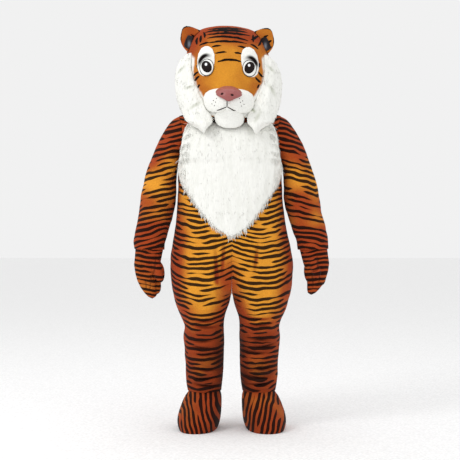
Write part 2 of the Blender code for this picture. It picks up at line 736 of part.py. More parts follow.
def mitt_rings(shrink, angles, rows):
    """Rings of the left-hand mitt, with grooves that part its three fingers."""
    height, inner, outer, depth, forward = rows.T[:, :, None]
    centre, half = (inner + outer) / 2, (outer - inner) / 2 - shrink
    square = 1 - 0.15 * ease((0.830 - height) / 0.04)
    across = np.sign(np.cos(angles)) * np.abs(np.cos(angles)) ** square
    through = np.sign(np.sin(angles)) * np.abs(np.sin(angles)) ** square
    fingers = ease((KNUCKLES - height) / 0.06)
    groove = FINGER_GROOVE * fingers * (bump((across - 0.33) / 0.2) + bump((across + 0.33) / 0.2))
    thickness = np.maximum(depth - shrink - groove, 0.004)
    x = centre + half * across
    y = thickness * through - forward
    z = height - SHOULDER_HEIGHT + 0 * x
    return np.stack([x, y, z], axis=2)


def thumb_rings(side, shrink):
    """A blunt cone from the root of the thumb to its round tip."""
    _, x0, y0, h0, r0, x1, y1, h1, r1 = next(row for row in THUMBS if row[0] == side)
    root = np.array([x0, y0, h0 - SHOULDER_HEIGHT])
    tip = np.array([x1, y1, h1 - SHOULDER_HEIGHT])
    axis = (tip - root) / np.linalg.norm(tip - root)
    second = np.cross(axis, [0, 1, 0])
    second /= np.linalg.norm(second)
    third = np.cross(axis, second)
    angles = np.arange(THUMB_SIDES) * 2 * math.pi / THUMB_SIDES
    rings = []
    for share, swell in ((0, 1.0), (0.5, 1.0), (0.85, 1.0), (1.02, 0.8), (1.12, 0.45)):
        radius = (r0 + (r1 - r0) * min(share, 1)) * swell - shrink * swell
        middle = root + (tip - root) * share
        ring = np.outer(np.cos(angles), second) + np.outer(np.sin(angles), third)
        rings.append(middle + radius * ring)
    end = root + (tip - root) * 1.16 - axis * shrink
    start = root - axis * 0.012
    return np.array(rings), start, end


def add_mitt(side):
    name = "mitt_left" if side > 0 else "mitt_right"
    angles = np.arange(MITT_SIDES) * 2 * math.pi / MITT_SIDES + math.pi / MITT_SIDES
    rows = np.array(MITT_ROWS)
    height, x, forward = MITT_TIP
    tip = np.array([x, -forward, height - SHOULDER_HEIGHT])
    outer = mitt_rings(0, angles, rows)
    start = outer[0].mean(axis=0)
    hollow_rows = rows.copy()
    hollow_rows[0, 0] += 0.02
    hollow = mitt_rings(CLOTH, angles, hollow_rows)
    hollow_tip = tip + np.array([0, 0, CLOTH])
    above = hollow[0].mean(axis=0) + np.array([0, 0, 0.005])
    shapes = [
        add_plug(name, *placed(side, outer, start, tip), "tiger_plush"),
        add_plug(name + "_hollow", *placed(side, hollow, above, hollow_tip), "tiger_plush", True),
        add_plug(name + "_thumb", *placed(side, *thumb_rings(side, 0)), "tiger_plush", True),
        add_plug(name + "_thumb_hollow", *placed(side, *thumb_rings(side, CLOTH)), "tiger_plush", True),
    ]
    combine(shapes[0], shapes[2], "UNION")
    combine(shapes[0], shapes[1], "DIFFERENCE")
    combine(shapes[0], shapes[3], "DIFFERENCE")


def placed(side, *shapes):
    return [swayed(mirrored(np.array(shape), side)) for shape in shapes]


# Foot covers


def add_spat(side):
    name = "spat_left" if side > 0 else "spat_right"
    angles = np.arange(SPAT_SIDES) * 2 * math.pi / SPAT_SIDES
    height, inner, outer, front, back, power = np.array(SPAT_ROWS).T[:, :, None]
    cosine, sine = np.cos(angles)[None], np.sin(angles)[None]
    depth = np.where(sine < 0, -front, back)
    x = (inner + outer) / 2 + (outer - inner) / 2 * np.sign(cosine) * np.abs(cosine) ** (2 / power)
    y = depth * np.sign(sine) * np.abs(sine) ** (2 / power)
    z = height - SHOULDER_HEIGHT + 0 * x
    turn = math.tan(math.radians(TOE_OUT)) * ease((0.165 - height) / 0.12)
    grid = np.stack([x - turn * np.minimum(y, 0) * 0.6, y, z], axis=2)
    inside = grid - normals(grid, True) * CLOTH
    inside[-1, :, 2] = grid[-1, :, 2]
    add_wall(name, *placed(side, grid, inside), "tiger_plush", True)


# Head


def head_grid(angles, heights):
    """Points of the head; the angle runs from the front, 0, to the left side, 90 degrees."""
    tilt, width, front, back, power = smooth_rows(HEAD_ROWS, heights).T[:, :, None]
    sine, cosine = np.sin(angles)[None], np.cos(angles)[None]
    depth = np.where(cosine > 0, front, back)
    x = width * np.sign(sine) * np.abs(sine) ** (2 / power)
    y = -depth * np.sign(cosine) * np.abs(cosine) ** (2 / power)
    z = np.asarray(heights)[:, None] + tilt * y
    y = y - relief(x, z) * ease(cosine / 0.5)
    return np.stack([x, y, z], axis=2)


def relief(x, z):
    """How far the face stands forward of the plain head."""
    total = np.zeros_like(x)
    for x0, z0, width, height, depth in FACE_RELIEF:
        reach = np.hypot((x - x0) / width, (z - z0) / height)
        total += depth * bump(reach)
    return total


def face_y(x, z):
    """The y of the face's outer surface at points of the front view."""
    x, z = np.asarray(x, float), np.asarray(z, float)
    y = np.full_like(x, -0.17)
    level = z + 0.03
    for _ in range(12):
        rows = smooth_rows(HEAD_ROWS, level.ravel())
        tilt, width, front, _, power = (column.reshape(x.shape) for column in rows.T)
        level = z - tilt * y
        share = np.clip(np.abs(x) / width, 0, 0.995)
        y = -front * (1 - share**power) ** (1 / power)
    return y - relief(x, z)


def worn(points):
    """The head as worn: a little to the right at its crown, and lower on its left."""
    points = np.asarray(points, float)
    moved = points.copy()
    moved[..., 0] += HEAD_X + HEAD_LEAN * points[..., 2]
    moved[..., 2] -= HEAD_ASKEW * points[..., 0]
    return moved


def head_heights():
    spread = np.sin(np.linspace(0, math.pi / 2, HEAD_ROW_COUNT))
    return HEAD_RIM + (HEAD_LAST - HEAD_RIM) * spread


def add_head_half(name, first, last, columns, seam_y):
    """One half of the hollow head, from its rim up to a point at the crown."""
    angles = np.radians(np.linspace(first, last, columns))
    outer = head_grid(angles, head_heights())
    inner = outer - normals(outer) * HEAD_WALL
    inner[0, :, 2] = outer[0, :, 2]
    top = np.array([0, 0, HEAD_TOP])
    tips = [top, top - np.array([0, 0, HEAD_WALL])]
    tips = [tip + np.array([0, seam_y, 0]) for tip in tips]
    grids = []
    for grid in (outer, inner):
        limit = np.minimum if seam_y < 0 else np.maximum
        grid[..., 1] = limit(grid[..., 1], seam_y)
        grids.append(grid)
    tips = [worn(tip) for tip in tips]
    add_wall(name, worn(grids[0]), worn(grids[1]), "tiger_plush", tips=tips)


def oval(x, z, shape, side):
    """Distance from an oval's centre, 1 at its outline."""
    x0, z0, width, height, turn, power = shape[:6]
    turn = math.radians(turn)
    dx, dz = side * x - x0, z - z0
    across = dx * math.cos(turn) + dz * math.sin(turn)
    up = dz * math.cos(turn) - dx * math.sin(turn)
    return (np.abs(across / width) ** power + np.abs(up / height) ** power) ** (1 / power)


def oval_height(reach, shape):
    middle, edge = shape[6:8]
    inside = edge + (middle - edge) * np.sqrt(np.clip(1 - reach**2.2, 0, 1))
    return np.where(reach <= 1, inside, edge * (1 - ease((reach - 1.12) / 0.3)))


def height_below(x, z, under):
    """How far the pieces under a new one stand out, each given as (shape, side)."""
    tops = [oval_height(oval(x, z, shape, side), shape) + REST for shape, side in under]
    return sum(tops, np.zeros_like(x))


def nose_lift(x, z):
    """How far the foot of the nose is lifted by the muzzle lobes under it."""
    return NOSE_LIFT * ease((NOSE_TOP - z) / NOSE_SLOPE)


def add_oval(name, shape, side, under, surface, rings, sides, outline=None, grown=0.0):
    """A piece whose outer face is the face's points moved out; its root reaches into the head.

    With grown it is a cutter that is larger all round by that much.
    """
    x0, z0, width, height, turn, power = shape[:6]
    angles = np.arange(sides) * 2 * math.pi / sides
    radii = np.sin(np.linspace(math.pi / 2, 0, rings + 1)[:-1])[:, None]
    cosine, sine = np.cos(angles), np.sin(angles)
    reach = (np.abs(cosine) ** power + np.abs(sine) ** power) ** (-1 / power)
    across, up = (width + grown) * reach * cosine * radii, (height + grown) * reach * sine * radii
    if outline:
        across, up = outline(across, up)
    turn = math.radians(turn)
    x = side * (x0 + across * math.cos(turn) - up * math.sin(turn))
    z = z0 + up * math.cos(turn) + across * math.sin(turn)
    x = np.concatenate([x, np.full((1, sides), side * x0)])
    z = np.concatenate([z, np.full((1, sides), z0)])
    radii = np.concatenate([radii, [[0.0]]])
    points, facing = face_points(x, z)
    below = under(x, z) if callable(under) else height_below(x, z, under)
    raised = below + REST + oval_height(radii + 0 * x, shape) + grown
    outer = worn(points + facing * raised[..., None])
    inner = worn(points - facing * (ROOT + 10 * grown))
    tips = [outer[-1, 0], inner[-1, 0]]
    full_name = name + "_cutter" if grown else name
    return add_wall(full_name, outer[:-1], inner[:-1], surface, True, tips, grown > 0)


def face_points(x, z):
    """Points of the bare face, and the way its pieces stand out there, which is mostly forward."""
    step = 0.002
    slope_x = (face_y(x + step, z) - face_y(x - step, z)) / (2 * step)
    slope_z = (face_y(x, z + step) - face_y(x, z - step)) / (2 * step)
    facing = np.stack([slope_x * FORWARD, -np.ones_like(x), slope_z * FORWARD], axis=-1)
    facing /= np.linalg.norm(facing, axis=-1, keepdims=True)
    return np.stack([x, face_y(x, z), z], axis=-1), facing


def nose_outline(across, up):
    """Narrows the nose a little at its top, and much at the foot between the nostrils."""
    foot = np.clip((-up / NOSE[3] - 0.25) / 0.75, 0, 1)
    top = np.clip(up / NOSE[3], 0, 1)
    return across * (1 - 0.70 * foot**0.8) * (1 - 0.12 * top), up


def add_ruff(side, cutter):
    """Thick fur on the cheek that hangs to a point in front of the chest."""
    name = "ruff_left" if side > 0 else "ruff_right"
    shares = np.linspace(0, 1, RUFF_COLUMNS)
    swell = (0.22 + 0.78 * np.sin(shares * math.pi) ** 0.55)[:, None]
    outer, inner = [], []
    for height, first, last, off, thick in RUFF_ROWS:
        points, facing = head_row(np.radians(first + (last - first) * shares), height)
        inner.append(points + facing * (off - ROOT * max(0, 1 - off / ROOT)))
        outer.append(points + facing * (REST + off + thick * swell))
    height, angle, off = RUFF_TIP
    points, facing = head_row(np.radians([angle - 3, angle, angle + 3]), height)
    tips = [points[1] + facing[1] * (off + 0.006), points[1] + facing[1] * off]
    walls = [worn(mirrored(np.array(grid), side)) for grid in (outer, inner)]
    tips = [worn(mirrored(tip, side)) for tip in tips]
    ruff = add_wall(name, *walls, "white_fur", tips=tips)
    combine(ruff, cutter, "DIFFERENCE")
    return ruff


def head_row(angles, height):
    """Points and normals of the head along one section."""
    grid = head_grid(angles, np.array([height - 0.004, height, height + 0.004]))
    return grid[1], normals(grid)[1]


def ear_point(s, angle):
    """A point of the left ear: s from its root, 0, to its rim, 1, and the angle round it."""
    rise = math.radians(EAR_RISE)
    out = np.array([math.cos(rise), 0, math.sin(rise)])
    along = np.array([-math.sin(rise), 0, math.cos(rise)])
    level = np.clip(s, 0, 1)
    t = np.cos(angle)
    squareness = np.where(t > 0, EAR_CORNER, EAR_FOOT)
    width = EAR_HALF_LENGTH * (1 - level**squareness) ** (1 / squareness)
    depth = EAR_HALF_DEPTH * (1 - 0.55 * level) * (1 - level**8) ** 0.5
    through = np.sin(angle)
    cup = EAR_CUP * (1 - t**2) * np.clip(-through, 0, 1) * np.sin(level * math.pi) ** 0.5
    reach = EAR_HEIGHT * level - EAR_ROOT * (1 - level)
    middle = np.array(EAR_BASE)
    return (
        middle
        + out * np.asarray(reach)[..., None]
        + along * np.asarray(width * t + EAR_SKEW * level)[..., None]
        + np.array([0, 1, 0]) * np.asarray(depth * through + cup)[..., None]
    )


def add_ear(side, cutter):
    word = "left" if side > 0 else "right"
    angles = np.arange(EAR_SIDES) * 2 * math.pi / EAR_SIDES
    levels = np.sin(np.linspace(0, math.pi / 2, 8)[:-1])
    levels[0] = 0.0
    rings = np.array([ear_point(np.full_like(angles, s), angles) for s in levels])
    tip = ear_point(np.array(0.9999), np.array(math.pi / 2))
    root = rings[0].mean(axis=0)
    shapes = [worn(mirrored(np.array(shape), side)) for shape in (rings, root, tip)]
    ear = add_plug(f"ear_{word}", *shapes, "tiger_plush")
    combine(ear, cutter, "DIFFERENCE")
    combine(add_ear_lining(side, word), cutter, "DIFFERENCE")


def add_ear_lining(side, word):
    """Dark fur in the hollow of the ear, made from the ear's front moved out."""
    angles = np.radians(np.linspace(212, 328, 7))
    levels = np.linspace(0.34, 0.74, 5)
    grid = np.array([ear_point(np.full_like(angles, s), angles) for s in levels])
    facing = np.array([0, -1.0, 0])
    inner = grid + facing * (2 * REST)
    outer = inner + facing * 0.004
    walls = [worn(mirrored(shape, side)) for shape in (outer, inner)]
    return add_wall(f"ear_lining_{word}", *walls, "dark_fur")


def add_head_cutter():
    """The head's outer form grown by the seam gap; it trims what is seated on the head."""
    angles = np.radians(np.linspace(-180, 180, 2 * HEAD_COLUMNS - 1)[:-1])
    grid = head_grid(angles, head_heights())
    grid = grid + normals(grid, True) * REST
    top = np.array([0, 0, HEAD_TOP + REST])
    below = grid[0].mean(axis=0) - np.array([0, 0, 0.08])
    shapes = [worn(np.array(shape)) for shape in (grid, below, top)]
    return add_plug("head_cutter", *shapes, "tiger_plush", True)


def add_face(cutter):
    """Pieces on the face, each trimmed by the ones that it lies on."""
    chin = add_oval("chin", CHIN, 1, [], "white_fur", 4, 16)
    nose = add_oval("nose", NOSE, 1, nose_lift, "nose_vinyl", 4, 18, nose_outline)
    over_chin = add_oval("chin", CHIN, 1, [], "white_fur", 4, 16, grown=REST)
    for piece in (chin, nose):
        combine(piece, cutter, "DIFFERENCE")
    for side, word in ((1, "left"), (-1, "right")):
        on_brow, on_eye = [(BROW, side)], [(BROW, side), (EYE, side)]
        brow = add_oval(f"brow_{word}", BROW, side, [], "white_fur", 3, 14)
        over_brow = add_oval(f"brow_{word}", BROW, side, [], "white_fur", 3, 14, grown=REST)
        eye = add_oval(f"eye_{word}", EYE, side, on_brow, "eye_white", 3, 14)
        over_eye = add_oval(f"eye_{word}", EYE, side, on_brow, "eye_white", 3, 14, grown=REST)
        pupil = add_oval(f"pupil_{word}", PUPIL, side, on_eye, "eye_dark", 2, 12)
        lobe = add_oval(f"muzzle_{word}", MUZZLE, side, [(CHIN, 1)], "white_fur", 4, 16)
        over_lobe = add_oval(f"muzzle_{word}", MUZZLE, side, [(CHIN, 1)], "white_fur", 4, 16, grown=REST)
        trims = (
            (brow, (cutter,)),
            (eye, (cutter, over_brow)),
            (pupil, (cutter, over_brow, over_eye)),
            (lobe, (cutter, over_chin)),
            (nose, (over_lobe,)),
        )
        for piece, cutters in trims:
            for other in cutters:
                combine(piece, other, "DIFFERENCE")
        combine(add_ruff(side, cutter), over_lobe, "DIFFERENCE")


def add_head():
    add_head_half("head_front", -90, 90, HEAD_COLUMNS, -SEAM / 2)
    add_head_half("head_back", 90, 270, (HEAD_COLUMNS + 1) // 2, SEAM / 2)
    cutter = add_head_cutter()
    for side in (1, -1):
        add_ear(side, cutter)
    add_face(cutter)


def main():
    for obj in list(bpy.data.objects):
        bpy.data.objects.remove(obj, do_unlink=True)
    for side in (1, -1):
        add_panel(side, "front")
        add_panel(side, "back")
        add_sleeve(side)
        add_mitt(side)
        add_spat(side)
    add_bib()
    add_zip()
    add_head()


main()
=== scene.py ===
"""Tiger mascot costume in its worn form: plush suit, mitts, foot covers and a big soft head.

Every piece is dressed over its CAD solid, in the same frame: metres, +Z up, front towards -Y,
+X on the wearer's left, the origin between the shoulders and the floor 1.43 m below it.
"""

import json
import math
import random

import bmesh
import bpy
import numpy as np
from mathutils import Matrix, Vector, noise
from mathutils.bvhtree import BVHTree

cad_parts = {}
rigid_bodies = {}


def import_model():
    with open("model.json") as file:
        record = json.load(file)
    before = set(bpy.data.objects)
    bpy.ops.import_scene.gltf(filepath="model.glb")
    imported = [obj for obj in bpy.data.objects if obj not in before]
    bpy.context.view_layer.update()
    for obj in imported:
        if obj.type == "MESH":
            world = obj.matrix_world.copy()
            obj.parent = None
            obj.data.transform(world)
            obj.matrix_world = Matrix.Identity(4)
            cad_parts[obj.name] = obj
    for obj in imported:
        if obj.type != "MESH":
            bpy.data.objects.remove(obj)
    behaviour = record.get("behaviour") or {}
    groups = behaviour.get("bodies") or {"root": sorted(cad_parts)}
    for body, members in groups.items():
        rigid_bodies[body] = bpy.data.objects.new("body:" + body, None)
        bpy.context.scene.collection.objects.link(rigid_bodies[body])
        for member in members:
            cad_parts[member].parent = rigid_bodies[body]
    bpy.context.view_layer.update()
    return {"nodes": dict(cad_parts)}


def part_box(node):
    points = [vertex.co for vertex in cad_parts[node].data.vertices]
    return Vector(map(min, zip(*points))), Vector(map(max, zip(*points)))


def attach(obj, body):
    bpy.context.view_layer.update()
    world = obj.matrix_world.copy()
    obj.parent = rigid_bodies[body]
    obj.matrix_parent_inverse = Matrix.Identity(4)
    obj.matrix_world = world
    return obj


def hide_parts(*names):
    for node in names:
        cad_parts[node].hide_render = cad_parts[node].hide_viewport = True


# Sizes
FLOOR_Z = -1.430
CAMERA_HEIGHT = 0.915
CAMERA_DISTANCE = 5.0
LENS = 84.2
SENSOR = 36.0
RIM_ANGLE = 50.0
RIM_HARDNESS = 0.8
WELD = 0.00002
CROTCH_Z = -0.815
LEG_X = 0.125
HIP_SWAY = 0.008
HEAD_X = -0.008
SIDES = (("left", 1), ("right", -1))

# Colours as seen
GOLD = (0.89, 0.60, 0.19)
RUST = (0.64, 0.26, 0.11)
STRIPE = (0.060, 0.018, 0.012)
WHITE = (0.955, 0.955, 0.935)
SHADE = (0.70, 0.72, 0.64)
LINING = (0.62, 0.38, 0.18)

# How rough cloth is at least, its gloss and that of smooth things, its sheen, short pile
CLOTH_ROUGHNESS = 0.8
CLOTH_GLOSS = 0.1
SMOOTH_GLOSS = 0.5
SHEEN_ROUGHNESS = 0.6
PILE_DEPTH = 0.0006

# How the printed stripes waver: scale, reach
STRIPE_DRIFT = ((5.0, 0.034), (15.0, 0.017))

# Locks of pile: share of their length and breadth there, thickness, depth of the root
LOCK_SECTIONS = ((0.0, 0.5), (0.35, 1.0), (0.7, 0.6))
LOCK_THICKNESS = 0.18
LOCK_ROOT = 0.001


# Numbers


def linear(colour):
    """A colour as seen, turned into the light values that a shader takes."""
    values = [c / 12.92 if c <= 0.04045 else ((c + 0.055) / 1.055) ** 2.4 for c in colour]
    return (*values, 1.0)


def in_metres(rows, lengths=6):
    """A table in millimetres, with its first columns, the lengths, in metres."""
    return [[value / 1000 for value in row[:lengths]] + list(row[lengths:]) for row in rows]


def ease(value):
    value = min(1.0, max(0.0, value))
    return value * value * (3 - 2 * value)


def bump(value):
    """1 at zero, falling smoothly to 0 at one."""
    return math.cos(value * math.pi / 2) ** 2 if abs(value) < 1 else 0.0


def turned(dx, dz, slope):
    """How far a step goes along a slope in degrees, and across it."""
    turn = math.radians(slope)
    along = dx * math.cos(turn) + dz * math.sin(turn)
    return along, dz * math.cos(turn) - dx * math.sin(turn)


# Materials


class Recipe:
    """A material under way, with short ways to add its nodes."""

    def __init__(self, name, roughness, sheen=0.0, metallic=0.0):
        self.material = bpy.data.materials.new(name)
        self.material.use_nodes = True
        self.tree = self.material.node_tree
        self.shader = self.tree.nodes["Principled BSDF"]
        for socket, value in (
            ("Roughness", roughness),
            ("Specular IOR Level", SMOOTH_GLOSS if roughness < CLOTH_ROUGHNESS else CLOTH_GLOSS),
            ("Metallic", metallic),
            ("Sheen Weight", sheen),
            ("Sheen Roughness", SHEEN_ROUGHNESS),
        ):
            self.shader.inputs[socket].default_value = value

    def set(self, socket, value):
        if isinstance(value, bpy.types.NodeSocket):
            self.tree.links.new(value, socket)
        else:
            socket.default_value = value

    def place(self):
        return self.tree.nodes.new("ShaderNodeTexCoord").outputs["Object"]

    def attribute(self, name):
        node = self.tree.nodes.new("ShaderNodeAttribute")
        node.attribute_name = name
        return node.outputs["Fac"]

    def mapping(self, vector, rotation=(0, 0, 0), scale=(1, 1, 1)):
        node = self.tree.nodes.new("ShaderNodeMapping")
        self.set(node.inputs["Vector"], vector)
        node.inputs["Rotation"].default_value = [math.radians(angle) for angle in rotation]
        node.inputs["Scale"].default_value = scale
        return node.outputs["Vector"]

    def math(self, operation, first, second=0.0):
        node = self.tree.nodes.new("ShaderNodeMath")
        node.operation = operation
        self.set(node.inputs[0], first)
        self.set(node.inputs[1], second)
        return node.outputs["Value"]

    def vector_math(self, operation, first, second):
        node = self.tree.nodes.new("ShaderNodeVectorMath")
        node.operation = operation
        self.set(node.inputs[0], first)
        if operation == "SCALE":
            self.set(node.inputs["Scale"], second)
        else:
            self.set(node.inputs[1], second)
        return node.outputs["Vector"]

    def split(self, vector):
        node = self.tree.nodes.new("ShaderNodeSeparateXYZ")
        self.set(node.inputs["Vector"], vector)
        return node.outputs["X"], node.outputs["Y"], node.outputs["Z"]

    def joined(self, x, y, z):
        node = self.tree.nodes.new("ShaderNodeCombineXYZ")
        for socket, value in zip(node.inputs, (x, y, z)):
            self.set(socket, value)
        return node.outputs["Vector"]

    def noise(self, vector, scale, detail=2.0, roughness=0.5, colour=False):
        node = self.tree.nodes.new("ShaderNodeTexNoise")
        self.set(node.inputs["Vector"], vector)
        node.inputs["Scale"].default_value = scale
        node.inputs["Detail"].default_value = detail
        node.inputs["Roughness"].default_value = roughness
        return node.outputs["Color" if colour else "Fac"]

    def ranged(self, value, low, high, to_low=0.0, to_high=1.0, smooth=True):
        node = self.tree.nodes.new("ShaderNodeMapRange")
        node.interpolation_type = "SMOOTHSTEP" if smooth else "LINEAR"
        for socket, number in zip(node.inputs, (value, low, high, to_low, to_high)):
            self.set(socket, number)
        return node.outputs["Result"]

    def mix(self, share, first, second, blend="MIX"):
        node = self.tree.nodes.new("ShaderNodeMix")
        node.data_type = "RGBA"
        node.blend_type = blend
        self.set(node.inputs["Factor"], share)
        self.set(node.inputs[6], first)
        self.set(node.inputs[7], second)
        return node.outputs[2]

    def dimmed(self, colour, level):
        """A colour made darker or lighter by one level."""
        return self.mix(1.0, colour, self.joined(level, level, level), "MULTIPLY")

    def relief(self, height, distance, strength=1.0, under=None):
        node = self.tree.nodes.new("ShaderNodeBump")
        node.inputs["Strength"].default_value = strength
        node.inputs["Distance"].default_value = distance
        self.set(node.inputs["Height"], height)
        if under:
            self.set(node.inputs["Normal"], under)
        return node.outputs["Normal"]

    def finish(self, colour, normal=None):
        self.set(self.shader.inputs["Base Color"], colour)
        if normal:
            self.set(self.shader.inputs["Normal"], normal)
        return self.material


def stripes(recipe, place, period, swag, seed, cover):
    """Wavy strokes across the Z of a place, each tapering at both ends: 1 in a stripe."""
    drift = place
    for scale, reach in STRIPE_DRIFT:
        wave = recipe.noise(place, scale, 1.0, colour=True)
        wave = recipe.vector_math("SUBTRACT", wave, (0.5, 0.5, 0.5))
        drift = recipe.vector_math("ADD", drift, recipe.vector_math("SCALE", wave, reach))
    x, y, z = recipe.split(drift)
    from_hips = recipe.math("ABSOLUTE", recipe.math("SUBTRACT", x, HIP_SWAY))
    side = recipe.math("SUBTRACT", from_hips, LEG_X)
    lift = recipe.math("MULTIPLY", recipe.math("MULTIPLY", side, side), swag)
    band = recipe.math("DIVIDE", recipe.math("SUBTRACT", z, lift), period)
    masks = []
    for offset, widest, share in ((0.0, 0.50, cover), (0.5, 0.60, cover + 0.03)):
        level = recipe.math("ADD", band, offset)
        row = recipe.math("FLOOR", recipe.math("ADD", level, 0.5))
        wave = recipe.math("COSINE", recipe.math("MULTIPLY", level, 2 * math.pi))
        spot = recipe.joined(x, y, recipe.math("MULTIPLY", row, 0.617))
        spot = recipe.vector_math("ADD", spot, (seed, offset, 0.0))
        length = recipe.noise(spot, 9.0, 0.6)
        edge = recipe.ranged(length, share - 0.07, share + 0.10, 1.08, widest, smooth=False)
        masks.append(recipe.ranged(recipe.math("SUBTRACT", wave, edge), -0.05, 0.12))
    return recipe.math("MAXIMUM", *masks)


def pile(recipe, place):
    """The fine relief of short plush."""
    fine = recipe.noise(place, 420.0, 2.0)
    coarse = recipe.noise(recipe.mapping(place, scale=(1, 1, 0.45)), 120.0, 3.0)
    return recipe.relief(coarse, PILE_DEPTH * 2, 0.6, recipe.relief(fine, PILE_DEPTH, 0.8))


def plush_ground(recipe, place, patch_scale, darkest, lightest):
    """Ground pile that runs from gold to rust in soft patches, with speckled tips."""
    patches = recipe.noise(place, patch_scale, 2.0)
    warmth = recipe.math("ADD", recipe.attribute("warmth"), recipe.math("SUBTRACT", patches, 0.5))
    ground = recipe.mix(recipe.ranged(warmth, 0.05, 0.95), linear(GOLD), linear(RUST))
    speckle = recipe.ranged(recipe.noise(place, 260.0, 2.0), 0.3, 0.7, darkest, lightest)
    return recipe.dimmed(ground, speckle)


def plush(name, turn=(0, 0, 0), period=0.046, swag=0.0, seed=0.0, cover=0.42):
    """Printed tiger plush: rust to gold ground with dark tapering stripes."""
    recipe = Recipe(name, roughness=0.95, sheen=0.03)
    place = recipe.place()
    marks = stripes(recipe, recipe.mapping(place, rotation=turn), period, swag, seed, cover)
    ground = plush_ground(recipe, place, 6.0, 0.86, 1.10)
    # The mesh's dark marks: painted strokes, and painted shade in folds, between the legs and in
    # creases where a piece has it
    dark = recipe.math("MAXIMUM", marks, recipe.attribute("dark"))
    colour = recipe.mix(recipe.math("MULTIPLY", dark, 0.96), ground, linear(STRIPE))
    return recipe.finish(colour, pile(recipe, place))


def long_pile(name, colour=WHITE, shade=SHADE):
    """Long soft fur that falls downwards, tinted towards a second colour in its hollows: on white fur
    this is painted shade.
    """
    recipe = Recipe(name, roughness=0.95, sheen=0.08)
    fall = recipe.mapping(recipe.place(), scale=(1, 1, 0.22))
    strands = recipe.noise(fall, 170.0, 3.0, 0.6)
    clumps = recipe.noise(fall, 38.0, 2.0)
    # Painted shade in the hollows between clumps, added to the number the mesh carries
    hollow = recipe.math("ADD", recipe.attribute("hollow"), recipe.ranged(clumps, 0.62, 0.30, 0, 0.10))
    tint = recipe.mix(hollow, linear(colour), linear(shade))
    tint = recipe.dimmed(tint, recipe.ranged(strands, 0.3, 0.7, 0.95, 1.02))
    relief = recipe.relief(strands, 0.0009, 0.6, recipe.relief(clumps, 0.002, 0.4))
    return recipe.finish(tint, relief)


def face_plush(name):
    """Airbrushed plush of the head: its marks come from the mesh."""
    recipe = Recipe(name, roughness=0.95, sheen=0.03)
    place = recipe.place()
    ground = plush_ground(recipe, place, 9.0, 0.80, 0.96)
    ground = recipe.mix(recipe.attribute("pale"), ground, linear(WHITE))
    grain = recipe.math("MULTIPLY", recipe.math("SUBTRACT", recipe.noise(place, 60.0), 0.5), 0.5)
    # The mesh's dark marks: painted strokes, and on the ears painted shade low beside the head
    marks = recipe.math("ADD", recipe.attribute("dark"), grain)
    colour = recipe.mix(recipe.ranged(marks, 0.40, 0.62), ground, linear(STRIPE))
    return recipe.finish(colour, pile(recipe, place))


def tinted(name, colour, second, attribute, roughness, gain=1.0):
    """A soft even finish, tinted towards a second colour by a number of the mesh."""
    recipe = Recipe(name, roughness)
    place = recipe.place()
    share = recipe.ranged(recipe.math("MULTIPLY", recipe.attribute(attribute), gain), 0.0, 1.0)
    tint = recipe.mix(share, linear(colour), linear(second))
    tint = recipe.dimmed(tint, recipe.ranged(recipe.noise(place, 150.0, 3.0), 0.3, 0.7, 0.94, 1.03))
    return recipe.finish(tint, recipe.relief(recipe.noise(place, 420.0, 2.0), 0.0004, 0.6))


def two_toned(name, inner, outer, attribute, low, high, roughness):
    """A smooth finish that changes from one colour to another across a line on the mesh."""
    recipe = Recipe(name, roughness)
    recipe.shader.inputs["Specular IOR Level"].default_value = 0.15
    share = recipe.ranged(recipe.attribute(attribute), low, high)
    tint = recipe.mix(share, linear(inner), linear(outer))
    mottle = recipe.ranged(recipe.noise(recipe.place(), 200.0), 0.3, 0.7, 0.97, 1.02)
    return recipe.finish(recipe.dimmed(tint, mottle))


def plain(name, colour, roughness, metallic=0.0, depth=0.0003):
    """A nearly plain finish with faint mottling and relief."""
    recipe = Recipe(name, roughness, metallic=metallic)
    place = recipe.place()
    mottle = recipe.ranged(recipe.noise(place, 90.0, 3.0), 0.3, 0.7, 0.92, 1.05)
    tint = recipe.dimmed(linear(colour), mottle)
    return recipe.finish(tint, recipe.relief(recipe.noise(place, 360.0, 2.0), depth, 0.5))


# Meshes


def merged(node):
    """A copy of a CAD node with its corners joined and its triangles paired."""
    shape = bmesh.new()
    shape.from_mesh(frame["nodes"][node].data)
    bmesh.ops.remove_doubles(shape, verts=shape.verts, dist=WELD)
    angle = math.radians(45)
    bmesh.ops.join_triangles(
        shape, faces=shape.faces, angle_face_threshold=angle, angle_shape_threshold=angle
    )
    return shape


def creased(shape):
    """Keeps the rims of a wall crisp when it is smoothed."""
    layer = shape.edges.layers.float.new("crease_edge")
    for edge in shape.edges:
        if len(edge.link_faces) == 2 and edge.calc_face_angle(0) > math.radians(RIM_ANGLE):
            edge[layer] = RIM_HARDNESS
    return shape


def as_object(name, shape):
    mesh = bpy.data.meshes.new(name)
    shape.to_mesh(mesh)
    shape.free()
    piece = bpy.data.objects.new(name, mesh)
    bpy.context.collection.objects.link(piece)
    return piece


def settle(piece):
    """Applies a piece's modifiers to its mesh."""
    graph = bpy.context.evaluated_depsgraph_get()
    mesh = bpy.data.meshes.new_from_object(piece.evaluated_get(graph))
    piece.modifiers.clear()
    piece.data = mesh
    mesh.shade_smooth()
    return piece


def smoothed(node, name, levels=2):
    """A CAD wall as a fine smooth shell."""
    piece = as_object(name, creased(merged(node)))
    finer = piece.modifiers.new("finer", "SUBSURF")
    finer.levels = levels
    finer.render_levels = levels
    return settle(piece)


def softened(node, name, voxel, rounds, shape=None):
    """A CAD solid as an even fine mesh with soft edges."""
    piece = as_object(name, shape or merged(node))
    remesh = piece.modifiers.new("even", "REMESH")
    remesh.mode = "VOXEL"
    remesh.voxel_size = voxel
    soft = piece.modifiers.new("soft", "SMOOTH")
    soft.factor = 0.5
    soft.iterations = rounds
    return settle(piece)


def moved(piece, rule):
    """Moves every point of a piece by a rule of its place and normal."""
    mesh = piece.data
    normals = [point.normal.copy() for point in mesh.vertices]
    for point, normal in zip(mesh.vertices, normals):
        point.co = point.co + rule(point.co, normal)
    mesh.update()


